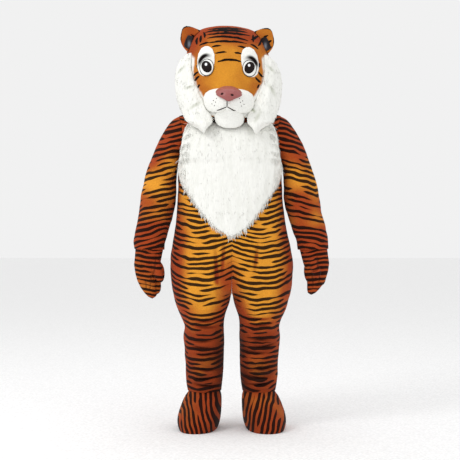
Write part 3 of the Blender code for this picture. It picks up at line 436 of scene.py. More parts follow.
def painted(piece, name, rule):
    """Gives every point of a piece a number by a rule of its place and normal."""
    mesh = piece.data
    layer = mesh.attributes.new(name, "FLOAT", "POINT")
    values = [rule(point.co, point.normal) for point in mesh.vertices]
    layer.data.foreach_set("value", values)


def evened(piece, name, value):
    """Gives every point of a piece the same number."""
    painted(piece, name, lambda place, normal: value)


def lined(piece, outwards_at):
    """Gives the faces that look inwards the second of a piece's materials."""
    for face in piece.data.polygons:
        if face.normal.dot(outwards_at(face.center)) < -0.25:
            face.material_index = 1


def dress(piece, node, materials, body="suit"):
    """Puts a piece on its body in place of its CAD node."""
    for material in materials:
        piece.data.materials.append(material)
    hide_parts(node)
    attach(piece, body)


def skinned(shape, rings):
    """Closes the first ring of corners and joins each ring to the next."""
    shape.faces.new(reversed(rings[0]))
    for below, above in zip(rings, rings[1:]):
        for index, corner in enumerate(below):
            after = (index + 1) % len(below)
            shape.faces.new((corner, below[after], above[after], above[index]))


def tufted(piece, count, length, width, lift, wanted):
    """Joins small flat locks of pile to a piece; they lie along it and run downwards."""
    dice = random.Random(piece.name)
    faces = [face for face in piece.data.polygons if wanted(face.center, face.normal)]
    weights = [face.area for face in faces]
    places = [(face.center.copy(), face.normal.copy()) for face in faces]
    shape = bmesh.new()
    shape.from_mesh(piece.data)
    for root, normal in dice.choices(places, weights, k=count):
        fall = Vector((dice.uniform(-0.35, 0.35), dice.uniform(-0.1, 0.1), -1))
        fall = (fall - normal * fall.dot(normal)).normalized()
        across = normal.cross(fall)
        size = length * dice.uniform(0.6, 1.2)
        rings = []
        for share, breadth in LOCK_SECTIONS:
            bend = lift * size * share * share
            middle = root + fall * size * share + normal * (bend - LOCK_ROOT)
            half, thick = width * breadth / 2, width * breadth * LOCK_THICKNESS
            offsets = (across * half, normal * thick, across * -half, normal * -thick)
            rings.append([shape.verts.new(middle + offset) for offset in offsets])
        tip = shape.verts.new(root + fall * size + normal * (lift * size))
        skinned(shape, rings)
        for corner, after in zip(rings[-1], rings[-1][1:] + rings[-1][:1]):
            shape.faces.new((corner, after, tip))
    bmesh.ops.recalc_face_normals(shape, faces=shape.faces)
    shape.to_mesh(piece.data)
    shape.free()
    piece.data.shade_smooth()


def tube(name, path, radius, sides=8):
    """A closed round thread along a path, fine at both ends."""
    shape = bmesh.new()
    rings = []
    for index, place in enumerate(path):
        ahead = path[min(index + 1, len(path) - 1)] - path[max(index - 1, 0)]
        turn = ahead.to_track_quat("Z", "Y")
        share = index / (len(path) - 1)
        reach = radius * (0.25 + 0.75 * min(1.0, 8 * share, 8 * (1 - share)))
        ring = []
        for step in range(sides):
            angle = 2 * math.pi * step / sides
            spoke = turn @ Vector((math.cos(angle), math.sin(angle), 0))
            ring.append(shape.verts.new(place + spoke * reach))
        rings.append(ring)
    skinned(shape, rings)
    shape.faces.new(rings[-1])
    bmesh.ops.recalc_face_normals(shape, faces=shape.faces)
    piece = as_object(name, shape)
    piece.data.shade_smooth()
    return piece


def surface_of(*pieces):
    """The joined surface of dressed pieces, to lay smaller ones on."""
    shape = bmesh.new()
    for piece in pieces:
        shape.from_mesh(piece.data)
    tree = BVHTree.FromBMesh(shape)
    shape.free()
    return tree


def spot_in_front(surface, x, z):
    """The place on a surface that the front view shows at x and z, or None."""
    return surface.ray_cast(Vector((x, -1.0, z)), Vector((0, 1, 0)))[0]


def laid_path(points, surface, step_length=0.003):
    """A path through places x and z, laid on a surface as seen from the front."""
    path = []
    for (x0, z0), (x1, z1) in zip(points, points[1:]):
        steps = max(2, int(math.hypot(x1 - x0, z1 - z0) / step_length))
        for step in range(steps):
            share = step / steps
            path.append((x0 + (x1 - x0) * share, z0 + (z1 - z0) * share))
    path.append(points[-1])
    spots = [spot_in_front(surface, x, z) for x, z in path]
    return [spot for spot in spots if spot]


def stroke_mark(x, z, strokes):
    """How dark the painted strokes are at a place, as the front shows it."""
    mark = 0.0
    for x0, z0, x1, z1, bow, half_width in strokes:
        length = math.hypot(x1 - x0, z1 - z0)
        ahead, up = (x1 - x0) / length, (z1 - z0) / length
        dx, dz = x - (x0 + x1) / 2, z - (z0 + z1) / 2
        along = 2 * (dx * ahead + dz * up) / length
        if abs(along) > 1.1:
            continue
        ripple = 0.0022 * noise.noise((x * 45, z * 45, z0 * 90))
        across = dz * ahead - dx * up - bow * (1 - along * along) + ripple
        reach = half_width * max(0.0, 1.1 - along * along) ** 0.6
        mark = max(mark, 1 - abs(across) / (2 * reach + 0.0001))
    return mark


def fold_height(x, z, folds):
    """How high the folds stand at a place; troughs are below zero."""
    total = 0.0
    for x0, z0, length, width, depth, sag, slope in folds:
        along, across = turned(x - x0 - HIP_SWAY, z - z0, slope)
        along /= length
        if abs(along) < 1:
            total += depth * bump(along) * bump((across - sag * along * along) / width)
    return total


def trough(place, folds, depth):
    """How far down a fold's trough a place lies, from 0 to 1 at a depth."""
    return max(0.0, min(1.0, -fold_height(place.x, place.z, folds) / depth))


def small_piece(piece, material):
    """Puts a piece that stands for no CAD node on the suit."""
    piece.data.materials.append(material)
    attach(piece, "suit")


# Scene

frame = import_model()

camera_data = bpy.data.cameras.new("camera")
camera_data.lens = LENS
camera_data.sensor_width = SENSOR
camera = bpy.data.objects.new("camera", camera_data)
camera.location = (0.0, -CAMERA_DISTANCE, CAMERA_HEIGHT + FLOOR_Z)
camera.rotation_euler = (math.radians(90), 0, 0)
bpy.context.collection.objects.link(camera)
bpy.context.scene.camera = camera


# Suit

# Fine folds, in mm: x, z, half length, half width, depth, sag, slope in degrees
FRONT_FOLDS = in_metres((
    (-70, -690, 150, 16, -5, 4, 92), (-40, -640, 110, 14, -4, 4, 86),
    (110, -640, 90, 15, -5, 4, 84), (70, -770, 80, 14, 4, 6, 30),
    (-60, -775, 80, 14, 4, 6, -28), (150, -830, 80, 16, 4, 8, 40),
    (-150, -820, 80, 16, 4, 8, -38), (130, -975, 75, 13, 5, 12, 6),
    (120, -1012, 80, 12, -4, 12, -4), (-120, -985, 80, 13, 5, 12, -6),
    (-128, -1020, 75, 12, -4, 12, 5), (120, -920, 85, 10, -4, 14, -3),
    (128, -948, 85, 10, -4, 16, 4), (150, -1045, 70, 10, -4, 14, 8),
    (110, -1075, 75, 10, -4, 12, -5), (-115, -930, 85, 10, -4, 14, 4),
    (-122, -958, 85, 10, -4, 16, -4), (-140, -1052, 70, 10, -4, 14, -7),
    (-112, -1082, 75, 10, -4, 12, 6), (130, -1150, 80, 9, -4, 12, 6),
    (120, -1190, 80, 9, -4, 12, -6), (128, -1220, 80, 9, -4, 10, 4),
    (-118, -1155, 80, 9, -4, 12, -6), (-124, -1195, 80, 9, -4, 12, 5),
    (-120, -1226, 80, 9, -4, 10, -4), (110, -1120, 60, 12, 4, 10, 22),
    (140, -1165, 70, 12, 5, 12, -14), (125, -1205, 75, 11, 5, 10, 10),
    (135, -1235, 70, 10, 4, 8, -6), (-110, -1130, 65, 12, 4, 10, -18),
    (-125, -1175, 72, 12, 5, 12, 12), (-120, -1212, 75, 11, 5, 10, -8),
    (-118, -1240, 70, 10, 4, 8, 6),
))
BACK_FOLDS = in_metres((
    (120, -860, 100, 18, 6, 20, 14), (-120, -855, 100, 18, 6, 20, -12),
    (60, -560, 110, 18, 5, 10, 60), (-70, -520, 110, 18, 5, 10, -64),
    (130, -1000, 80, 14, 5, 12, -5), (-125, -1005, 80, 14, 5, 12, 6),
    (120, -1175, 75, 12, 5, 10, 10), (128, -1225, 72, 11, 5, 8, -6),
    (-124, -1180, 75, 12, 5, 10, -9), (-122, -1228, 72, 11, 5, 8, 5),
))
# How much the folds are raised on the body, and how much more on the legs
FOLD_GAIN = 1.9
LEG_FOLD_GAIN = 1.5
# Seams: half width, depth
CENTRE_SEAM = (0.011, 0.0022)
SIDE_SEAM = (0.010, 0.0015)
# Uneven hang of the cloth: scale, height
HANG = ((17.0, 0.0022), (41.0, 0.0010))


def body_direction(place):
    """Outwards from the middle of the torso, a leg or a shoulder."""
    side = 1 if place.x > HIP_SWAY else -1
    legs = ease((CROTCH_Z + 0.05 - place.z) / 0.10)
    x = place.x - HIP_SWAY - side * LEG_X * legs
    if place.z > CROTCH_Z:
        x *= 0.35
    up = max(0.0, place.z + 0.12) * 0.8
    direction = Vector((x, place.y, up))
    return direction.normalized() if direction.length > 1e-6 else Vector((0, 1, 0))


def body_warmth(place):
    """How far the suit's ground runs from gold, 0, to rust, 1."""
    x = abs(place.x - HIP_SWAY)
    front = ease((0.02 - place.y) / 0.10)
    torso = ease((0.275 - x) / 0.11)
    leg = bump((x - 0.135) / 0.125)
    legs = ease((-0.80 - place.z) / 0.10)
    gold = (torso * (1 - legs) + leg * legs) * ease((place.z + 1.04) / 0.22)
    gold *= ease((-0.13 - place.z) / 0.16)
    middle = bump((place.x + 0.014) / 0.095) * bump((place.z + 0.74) / 0.25)
    crotch = bump((place.x - HIP_SWAY) / 0.10) * bump((place.z + 0.84) / 0.15)
    gold *= front * (1 - 0.80 * middle) * (1 - 0.85 * crotch)
    shin = bump((x - 0.125) / 0.11) * bump((place.z + 1.13) / 0.14) * front
    return 0.95 - 0.88 * gold - 0.32 * shin * (1 - gold)


def leg_shade(place, folds):
    """Darker pile: painted shade in the folds' troughs and on the insides of the legs, and darker
    patches below the knees.
    """
    lower = ease((-0.90 - place.z) / 0.16)
    inside = bump((abs(place.x - HIP_SWAY) - 0.045) / 0.055)
    patch = 0.5 + noise.noise((place.x * 9, place.y * 9, place.z * 16))
    shade = lower * (0.16 + 0.26 * patch + 0.42 * inside)
    # Painted shade in the troughs of the folds, deeper below the knees
    return shade + 0.70 * trough(place, folds, 0.004) * (0.4 + 0.6 * lower)


def add_panel(node, name, folds):
    piece = smoothed(node, name, 3)

    def wrinkle(place, normal):
        on_leg = ease((-0.85 - place.z) / 0.1)
        height = fold_height(place.x, place.z, folds) * (FOLD_GAIN + LEG_FOLD_GAIN * on_leg)
        centre = HIP_SWAY * ease((-0.40 - place.z) / 0.1)
        above_crotch = ease((place.z + 0.84) / 0.02)
        height -= CENTRE_SEAM[1] * bump((place.x - centre) / CENTRE_SEAM[0]) * above_crotch
        height -= SIDE_SEAM[1] * bump(place.y / SIDE_SEAM[0])
        height += sum(rise * noise.noise(place * scale) for scale, rise in HANG)
        return body_direction(place) * height * ease((-place.z + 0.02) / 0.1)

    # Painted shade: the ground runs further towards rust in the troughs of the folds
    def warmth(place, normal):
        return body_warmth(place) + 0.6 * trough(place, folds, 0.005)

    moved(piece, wrinkle)
    painted(piece, "warmth", warmth)
    # Painted shade in the folds and between the legs, carried in the dark marks
    painted(piece, "dark", lambda place, normal: leg_shade(place, folds))
    dress(piece, node, (suit_plush, lining_cloth))
    lined(piece, body_direction)


suit_plush = plush("suit_plush", swag=1.8, cover=0.39)
lining_cloth = plain("lining_cloth", LINING, 0.9)
for side in ("left", "right"):
    add_panel("front_" + side, "suit_front_" + side, FRONT_FOLDS)
    add_panel("back_" + side, "suit_back_" + side, BACK_FOLDS)


# Sleeves


def sleeve_warmth(place, normal):
    """Rust at the shoulder and below the elbow, with orange bands on the upper arm."""
    drift = 0.5 * noise.noise((place.x * 8, place.y * 8, place.z * 11))
    bands = bump((place.z + 0.27) / 0.15) + 0.6 * bump((place.z + 0.47) / 0.07)
    return 0.98 - 0.62 * bands + drift * ease((-0.10 - place.z) / 0.1)


def add_sleeve(side, sign):
    piece = smoothed("sleeve_" + side, "suit_sleeve_" + side)
    along = Vector((sign * 0.20, 0, -0.98))

    def wrinkle(place, normal):
        across = Vector((place.x * 9, place.y * 9, place.z * 24 + sign * place.x * 9))
        depth = 0.0038 * noise.noise(across) + 0.0014 * noise.noise(place * 38.0)
        middle = Vector((sign * 0.24, 0, 0)) + along * max(0.0, -place.z - 0.02)
        outwards = place - middle
        outwards.z = 0
        return outwards.normalized() * depth

    moved(piece, wrinkle)
    painted(piece, "warmth", sleeve_warmth)
    evened(piece, "dark", 0.0)
    cloth = plush("sleeve_plush_" + side, turn=(0, sign * -13, 0), seed=sign * 3.1, cover=0.38)
    dress(piece, "sleeve_" + side, (cloth,))


for side, sign in SIDES:
    add_sleeve(side, sign)


# Foot covers


def foot_shade(place, normal):
    return 0.16 + 0.2 * noise.noise(place * 14.0)


for side, sign in SIDES:
    piece = smoothed("spat_" + side, "foot_cover_" + side)
    evened(piece, "warmth", 0.84)
    painted(piece, "dark", foot_shade)
    cloth = plush(
        "foot_plush_" + side, turn=(0, 76 * sign, 0), period=0.044, seed=sign * 7.7, cover=0.34
    )
    dress(piece, "spat_" + side, (cloth,))


# Mitts

MITT_RIM = -0.580
MITT_WALL = 0.004
MITT_LENGTH = {"left": 0.93, "right": 1.0}
CREASE_DEPTH = 0.0025
# Creases between the fingers and at the thumb, as for the head's strokes; they are pressed in and
# given painted shade
MITT_CREASES = {
    "left": in_metres((
        (398, -638, 400, -698, 2, 4), (400, -698, 376, -706, 0, 3.4),
        (372, -710, 378, -778, 3, 3.4), (406, -718, 406, -756, 2, 3.2),
    )),
    "right": in_metres((
        (-342, -650, -352, -718, 3, 4), (-362, -720, -368, -788, 3, 3.4),
        (-390, -740, -384, -786, 2, 3.2),
    )),
}
# Finger lobes, in mm: x and z of both ends, depth, radius
FINGERS = {
    "left": in_metres((
        (419, -690, 423, -750, -30, 20), (389, -700, 388, -775, -34, 22),
        (360, -680, 364, -738, -36, 19), (383, -640, 395, -682, -62, 18),
    )),
    "right": in_metres((
        (-413, -700, -382, -790, -20, 20), (-379, -720, -354, -806, -28, 21),
        (-344, -735, -336, -792, -26, 18), (-326, -680, -320, -738, -34, 19),
    )),
}
# A finger's thickness for its width, and how far its tip leans forwards
FINGER_THICKNESS = 1.3
FINGER_LEAN = 0.006


def outer_shell(node, rim_z):
    """The outside of a hollow CAD piece, with its rim and its inner wall taken away."""
    shape = merged(node)
    top = [face for face in shape.faces if all(corner.co.z > rim_z for corner in face.verts)]
    bmesh.ops.delete(shape, geom=top, context="FACES")
    start = max(shape.verts, key=lambda corner: corner.co.x)
    outer, queue = {start}, [start]
    while queue:
        for edge in queue.pop().link_edges:
            for corner in edge.verts:
                if corner not in outer:
                    outer.add(corner)
                    queue.append(corner)
    inner = [corner for corner in shape.verts if corner not in outer]
    bmesh.ops.delete(shape, geom=inner, context="VERTS")
    bmesh.ops.holes_fill(shape, edges=[edge for edge in shape.edges if edge.is_boundary])
    return shape


def add_finger(shape, x0, z0, x1, z1, y, radius):
    """A soft finger lobe between two places, to be joined to a mitt."""
    start, end = Vector((x0, y, z0)), Vector((x1, y - FINGER_LEAN, z1))
    lobe = bmesh.ops.create_uvsphere(shape, u_segments=20, v_segments=14, radius=1.0)["verts"]
    length = (end - start).length / 2 + radius
    bmesh.ops.scale(shape, verts=lobe, vec=(radius, radius * FINGER_THICKNESS, length))
    turn = (end - start).to_track_quat("Z", "Y").to_matrix()
    bmesh.ops.rotate(shape, verts=lobe, cent=(0, 0, 0), matrix=turn)
    bmesh.ops.translate(shape, verts=lobe, vec=(start + end) / 2)


def mitt_shell(side):
    """A closed mitt with its finger lobes, cut open at the cuff and given a wall."""
    name = "mitt_shell_" + side
    shell = outer_shell("mitt_" + side, MITT_RIM - 0.0005)
    for corner in shell.verts:
        corner.co.z = MITT_RIM + (corner.co.z - MITT_RIM) * MITT_LENGTH[side]
    for finger in FINGERS[side]:
        add_finger(shell, *finger)
    closed = softened(None, name, 0.003, 3, shell)
    shape = bmesh.new()
    shape.from_mesh(closed.data)
    bpy.data.objects.remove(closed)
    bmesh.ops.bisect_plane(
        shape,
        geom=shape.verts[:] + shape.edges[:] + shape.faces[:],
        plane_co=(0, 0, MITT_RIM - 0.003),
        plane_no=(0, 0, 1),
        clear_outer=True,
    )
    piece = as_object(name, shape)
    wall = piece.modifiers.new("wall", "SOLIDIFY")
    wall.thickness = MITT_WALL
    wall.offset = -1.0
    return settle(piece)


def add_mitt(side, sign):
    piece = mitt_shell(side)

    def crease(place, normal):
        if normal.y < 0.1:
            return min(1.0, stroke_mark(place.x, place.z, MITT_CREASES[side]))
        return 0.0

    evened(piece, "warmth", 0.88)
    # Painted shade along the creases between the fingers and at the thumb
    painted(piece, "dark", lambda place, normal: 0.6 * crease(place, normal))
    moved(piece, lambda place, normal: normal * -CREASE_DEPTH * crease(place, normal))
    cloth = plush(
        "mitt_plush_" + side, turn=(0, 6 * sign, 0), period=0.042, seed=sign * 5.3, cover=0.34
    )
    dress(piece, "mitt_" + side, (cloth,))


for side, sign in SIDES:
    add_mitt(side, sign)


# Bib and ruffs

# How wide the bib is from its point upwards, in mm: z, half width
BIB_EDGE = in_metres((
    (-546, 4), (-524, 44), (-482, 94), (-412, 147), (-335, 201),
    (-280, 224), (-235, 226), (-200, 218), (-160, 209), (-26, 200),
))
BIB_EDGE_WIDTH = 0.024
# How far the bib's pile spreads beside the armholes: outwards, backwards
BIB_SPREAD = (0.018, 0.004)
# How fine the clumps of long pile are, across them and along their fall
CLUMP_ACROSS = 55.0
CLUMP_ALONG = 13.0
# Shaded hollows in the ruffs, in mm: x, z, half length, half width, slope in degrees, shade
RUFF_HOLLOWS = in_metres((
    (-222.5, 218, 40, 12, 38, 0.55), (-185, 131, 36, 11, 12, 0.6),
    (-157, 45, 46, 13, 32, 0.6), (186, 218, 40, 12, -42, 0.5),
    (190, 120, 50, 14, -60, 0.55), (102.4, 24, 26, 11, -45, 1.0),
    (123, -10, 45, 14, 62, 0.5),
), 4)
RUFF_TIPS = {"left": 0.1135, "right": -0.116}
RUFF_LIFT = 0.34
RUFF_TAPER = 0.60


def fur(piece, reach):
    """Raises clumps of long pile that run downwards."""

    def clump(place, normal):
        spot = Vector((place.x * CLUMP_ACROSS, place.y * CLUMP_ACROSS, place.z * CLUMP_ALONG))
        return normal * reach * (noise.noise(spot) + 0.5 * noise.noise(spot * 2.3))

    moved(piece, clump)


def near_bib_edge(place, normal):
    heights, widths = zip(*BIB_EDGE)
    width = float(np.interp(place.z, heights, widths))
    return abs(place.x) > width - BIB_EDGE_WIDTH and normal.y < 0.6


def bib_side(place, normal):
    """Pile that spreads outwards beside the armholes."""
    out = 1 if place.x > HIP_SWAY else -1
    spread = ease((out * (place.x - HIP_SWAY) - 0.10) / 0.09) * bump((place.z + 0.17) / 0.20)
    return Vector((BIB_SPREAD[0] * out * spread, BIB_SPREAD[1] * spread, 0))


def ruff_hollow(place, normal):
    shade = 0.0
    for x, z, length, width, slope, depth in RUFF_HOLLOWS:
        along, across = turned(place.x - x, place.z - z, slope)
        shade = max(shade, depth * bump(along / length) * bump(across / width))
    return shade


def add_ruff(side, sign):
    ruff = softened("ruff_" + side, "ruff_fur_" + side, 0.0032, 8)

    def to_point(place, normal):
        """Gathers the ruff's end to a point and draws its inner edge in beside the chin."""
        narrowed = (RUFF_TIPS[side] - place.x) * RUFF_TAPER * ease((-0.025 - place.z) / 0.07)
        inner = ease((0.115 - abs(place.x)) / 0.03) * bump((place.z - 0.005) / 0.045)
        raised = RUFF_LIFT * max(0.0, -0.02 - place.z)
        return Vector((narrowed - 0.010 * sign * inner, 0, raised))

    moved(ruff, to_point)
    fur(ruff, 0.0030)
    tufted(ruff, 700, 0.020, 0.0060, 0.08, lambda place, normal: normal.z < 0.9 and place.z > -0.03)
    painted(ruff, "hollow", ruff_hollow)
    dress(ruff, "ruff_" + side, (white_fur,))


white_fur = long_pile("white_fur")
bib = softened("bib", "bib_fur", 0.004, 16)
moved(bib, bib_side)
fur(bib, 0.0014)
tufted(bib, 600, 0.026, 0.0055, 0.03, lambda place, normal: normal.y < -0.2)
tufted(bib, 1500, 0.032, 0.0036, 0.05, near_bib_edge)
evened(bib, "hollow", 0.0)
dress(bib, "bib", (white_fur,))
for side, sign in SIDES:
    add_ruff(side, sign)


# Head

# Strokes on the head, in mm: x and z of both ends, how far the middle bows up, half width
HEAD_STROKES = in_metres((
    (-110.4, 385.2, 78.8, 383.4, 8.1, 7.3), (-105.9, 370, 92.4, 367.5, 8, 5.6),
    (-101.4, 352.8, 83.4, 341.1, 11, 5.6), (-101.4, 329.4, 74.3, 326.7, 8.2, 5.1),
    (-83.4, 308.6, -38.3, 315.8, 1.4, 4.5), (33.8, 313.1, 81.1, 302.3, 1.4, 4.5),
    (-70, 278, -11.3, 285.2, 1.8, 3.9), (18, 282.5, 56, 275.3, 1.4, 4.5),
    (-60, 239.2, 53, 241.9, 8.6, 5.6), (-132.9, 372.6, -135.2, 334.3, 0, 5.6),
    (105.9, 377.1, 103.6, 336.6, 0, 5.6), (-166.7, 183.4, -143.7, 200.5, 1.8, 5),
    (-162.2, 158.6, -138.3, 178.9, 1.8, 5.5), (-145.5, 124.8, -134.7, 145.1, 0.9, 4.8),
    (150.9, 176.6, 127.5, 201.4, 1.4, 5.4), (141.9, 149.6, 114.9, 176.6, 1.8, 5.8),
    (123.9, 124.8, 133.8, 142.8, 0.9, 4.2), (-100, 399, 75, 398.5, 6, 6.2),
    (-120, 388, -115, 356, 3, 4.8), (-148, 364, -150, 328, -4, 5.8),
    (131, 376, 94, 348, 3, 6), (143, 356, 127, 320, 3, 5.6),
    (-140, 320, -95, 333, 3, 4.6), (90, 326, 130, 306, 3, 4.6),
    (-150.9, 232.9, -144.2, 210.4, 0, 4.2), (135.2, 241.9, 131.1, 219.4, 0, 4.2),
))
# Where the orange of the face meets the white at each side, from above down, in mm: x, z
FACE_EDGES = {
    -1: in_metres((
        (-151, 295), (-160, 250), (-165.5, 205), (-161, 169), (-137, 115), (-112, 75),
    )),
    1: in_metres(((135, 295), (144, 250), (151, 200), (144, 151), (119, 106), (90, 56))),
}
# Orange left showing at the corners of the chin: x, z and how wide
CHIN_CORNERS = ((-0.083, -0.014), (0.056, -0.018))
CHIN_CORNER_REACH = 0.011


def head_dark(place, normal):
    if place.y < 0.02 and normal.y < 0.4:
        return stroke_mark(place.x, place.z, HEAD_STROKES)
    return 0.0


def head_warmth(place, normal):
    """Rust at the crown and behind, gold on the bridge of the nose, orange cheeks."""
    crown = ease((place.z - 0.26) / 0.13)
    bridge = bump((place.x + 0.009) / 0.11) * bump((place.z - 0.17) / 0.13)
    behind = ease((place.y + 0.06) / 0.12)
    cheek = ease((abs(place.x - HEAD_X) - 0.06) / 0.10)
    return 0.36 + 0.22 * cheek + 0.46 * max(crown, behind) - 0.36 * bridge * (1 - behind)


def head_pale(place, normal):
    """White fur round the lower face, soft where it meets the orange."""
    if place.y > 0.02:
        return 0.0
    low = ease((0.298 - 1.2 * max(0.0, 0.172 - abs(place.x - HEAD_X)) - place.z) / 0.024)
    pale = 0.0
    for side, edge in FACE_EDGES.items():
        for (x0, z0), (x1, z1) in zip(edge, edge[1:]):
            if z1 <= place.z <= z0 or (z0 == edge[0][1] and place.z > z0):
                line = x0 + (x1 - x0) * (z0 - place.z) / (z0 - z1)
                wave = 0.003 * noise.noise((place.x * 60, place.z * 60, side))
                pale = max(pale, ease((side * (place.x - line) + wave + 0.004) / 0.010))
    pale = max(pale, ease((0.070 - 0.10 * place.x - place.z) / 0.016))
    for x, z in CHIN_CORNERS:
        distance = math.hypot(place.x - x, place.z - z)
        pale = min(pale, ease((distance - CHIN_CORNER_REACH) / 0.006))
    return pale * low


def head_direction(place):
    """Outwards from the middle of the head."""
    return Vector((place.x - HEAD_X, place.y, max(0.0, place.z - 0.24))).normalized()


head_plush = face_plush("head_plush")
crown_plush = plush("crown_plush", seed=11.0, cover=0.47)
head_shells = {}
for half, cloth in (("front", head_plush), ("back", crown_plush)):
    piece = smoothed("head_" + half, "head_shell_" + half, 3)
    painted(piece, "warmth", head_warmth)
    painted(piece, "dark", head_dark)
    painted(piece, "pale", head_pale)
    dress(piece, "head_" + half, (cloth, lining_cloth))
    lined(piece, head_direction)
    head_shells[half] = piece


# Ears and brows

# Strokes on the front of the ears, as for the head's
EAR_STROKES = in_metres((
    (-196, 360, -174, 330, 4, 6), (-180, 382, -156, 356, 4, 5.2),
    (-202, 330, -176, 312, 3, 5.2), (190, 356, 166, 326, -4, 6),
    (176, 378, 150, 354, -4, 5.2), (193, 326, 169, 308, -3, 5.2),
))
EAR_ROUNDNESS = 3.4
# Middles of the eyes, and the half size of their lids: x, z
EYE_PLACES = {"left": (0.0861, 0.2154), "right": (-0.1041, 0.2248)}
LID_SIZE = (0.031, 0.038)


def middle_and_half(node):
    """The middle and the half size of a CAD node's box."""
    low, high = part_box(node)
    middle = [(a + b) / 2 for a, b in zip(low, high)]
    half = [(b - a) / 2 for a, b in zip(low, high)]
    return middle, half


def add_ear(side):
    ear = softened("ear_" + side, "ear_shell_" + side, 0.0024, 6)
    middle, half = middle_and_half("ear_" + side)

    def ear_dark(place, normal):
        """Dark at the ear's edge and where the painted strokes are, with painted shade low beside the
        head.
        """
        across = abs(place.x - middle[0]) / half[0]
        up = abs(place.z - middle[2]) / half[2]
        reach = (across**EAR_ROUNDNESS + up**EAR_ROUNDNESS) ** (1 / EAR_ROUNDNESS)
        edge = ease((reach - 0.84) / 0.09)
        # Painted shade where the ear meets the head
        hollow = ease((0.168 - abs(place.x - HEAD_X)) / 0.016) * ease((0.362 - place.z) / 0.03)
        return max(edge, 0.9 * hollow, stroke_mark(place.x, place.z, EAR_STROKES))

    evened(ear, "warmth", 0.62)
    painted(ear, "dark", ear_dark)
    evened(ear, "pale", 0.0)
    dress(ear, "ear_" + side, (head_plush,))


def add_brow(side, sign):
    brow = softened("brow_" + side, "brow_fur_" + side, 0.002, 8)
    lid_x, lid_z = EYE_PLACES[side]

    def lid(place, normal):
        """Airbrushed shade over the upper outer side of the eye."""
        out, up = (place.x - lid_x) * sign, place.z - lid_z
        radius = math.hypot(out / LID_SIZE[0], up / LID_SIZE[1])
        angle = math.degrees(math.atan2(up, out))
        return min(1.0, 1.3 * bump((radius - 1.18) / 0.48) * bump((angle - 56) / 86))

    painted(brow, "lid", lid)
    dress(brow, "brow_" + side, (brow_plush,))


brow_plush = tinted("brow_plush", WHITE, STRIPE, "lid", 0.9)
for side, sign in SIDES:
    add_ear(side)
    add_brow(side, sign)


# Muzzle, chin and nose

# The pad that joins the two muzzle lobes below the nose: middle, half size
MUZZLE_BRIDGE = (-0.006, -0.226, 0.048)
MUZZLE_BRIDGE_SIZE = (0.022, 0.016, 0.036)
# Nostrils: x, z
NOSTRILS = ((-0.0352, 0.0840), (0.0084, 0.0780))
NOSTRIL_SIZE = (0.0085, 0.0065)
NOSTRIL_DEPTH = 0.008
NOSE_X = -0.0120
NOSE_WIDTH = 0.91


def nostril(place, normal):
    """1 inside a nostril, falling to 0 at its rim."""
    spread = 0.0
    for x, z in NOSTRILS:
        across, up = (place.x - x) / NOSTRIL_SIZE[0], (place.z - z) / NOSTRIL_SIZE[1]
        spread = max(spread, 1 - math.hypot(across, up))
    return max(0.0, spread) if normal.y < 0.2 else 0.0


def nose_form(place, normal):
    """Presses the nostrils in and rounds the nose's lower corners."""
    width = NOSE_WIDTH * (1 + 0.20 * bump((place.z - 0.072) / 0.022)) - 1
    pressed = NOSTRIL_DEPTH * ease(1.4 * nostril(place, normal))
    return Vector(((place.x - NOSE_X) * width, pressed, 0))


short_white = tinted("short_white", WHITE, SHADE, "hollow", 0.9)

lobes = merged("muzzle_left")
lobes.from_mesh(frame["nodes"]["muzzle_right"].data)
bmesh.ops.remove_doubles(lobes, verts=lobes.verts, dist=WELD)
bridge = bmesh.ops.create_uvsphere(lobes, u_segments=24, v_segments=14, radius=1.0)["verts"]
bmesh.ops.scale(lobes, verts=bridge, vec=MUZZLE_BRIDGE_SIZE)
bmesh.ops.translate(lobes, verts=bridge, vec=MUZZLE_BRIDGE)
muzzle = softened(None, "muzzle_fur", 0.0025, 5, lobes)
evened(muzzle, "hollow", 0.0)
muzzle.data.materials.append(short_white)
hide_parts("muzzle_left", "muzzle_right")
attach(muzzle, "suit")

chin = softened("chin", "chin_fur", 0.002, 8)
evened(chin, "hollow", 0.0)
dress(chin, "chin", (short_white,))

nose_vinyl = tinted("nose_vinyl", (0.62, 0.34, 0.33), (0.07, 0.03, 0.03), "nostril", 0.40, 1.6)
nose = softened("nose", "nose_form", 0.0020, 6)
painted(nose, "nostril", nostril)
moved(nose, nose_form)
dress(nose, "nose", (nose_vinyl,))


# Eyes

# How high an eye and a pupil stand off their ground: rim, dome
EYE_DOME = (0.002, 0.006)
PUPIL_DOME = (0.0008, 0.002)
PUPIL_LEAN = 0.24
# Where the glint is on a pupil: right, up, in parts of its half size
GLINT = (-0.10, 0.36)


def oval_dome(name, node, surface, dome, lean=0.0):
    """A shallow dome on a surface, with about its CAD oval's outline, leaning to one side."""
    rim, rise = dome
    middle, half = middle_and_half(node)
    shape = bmesh.new()
    bmesh.ops.create_uvsphere(shape, u_segments=48, v_segments=24, radius=1.0)
    for corner in shape.verts:
        x = middle[0] + (corner.co.x + lean * corner.co.y) * half[0]
        z = middle[2] + corner.co.y * half[2]
        spot = spot_in_front(surface, x, z)
        depth = spot.y if spot else middle[1]
        reach = rim + (rise if corner.co.z > 0 else 0.004) * corner.co.z
        corner.co = Vector((x, depth - reach, z))
    bmesh.ops.recalc_face_normals(shape, faces=shape.faces)
    piece = as_object(name, shape)
    piece.data.shade_smooth()
    return piece


def from_middle(piece, right, up):
    """How far a point is from a place near a dome's middle, in parts of its size."""
    low = Vector(min(point.co[axis] for point in piece.data.vertices) for axis in range(3))
    high = Vector(max(point.co[axis] for point in piece.data.vertices) for axis in range(3))
    middle, half = (low + high) / 2, (high - low) / 2

    def distance(place, normal):
        x, z = (place.x - middle.x) / half.x - right, (place.z - middle.z) / half.z - up
        return math.hypot(x, z)

    return distance


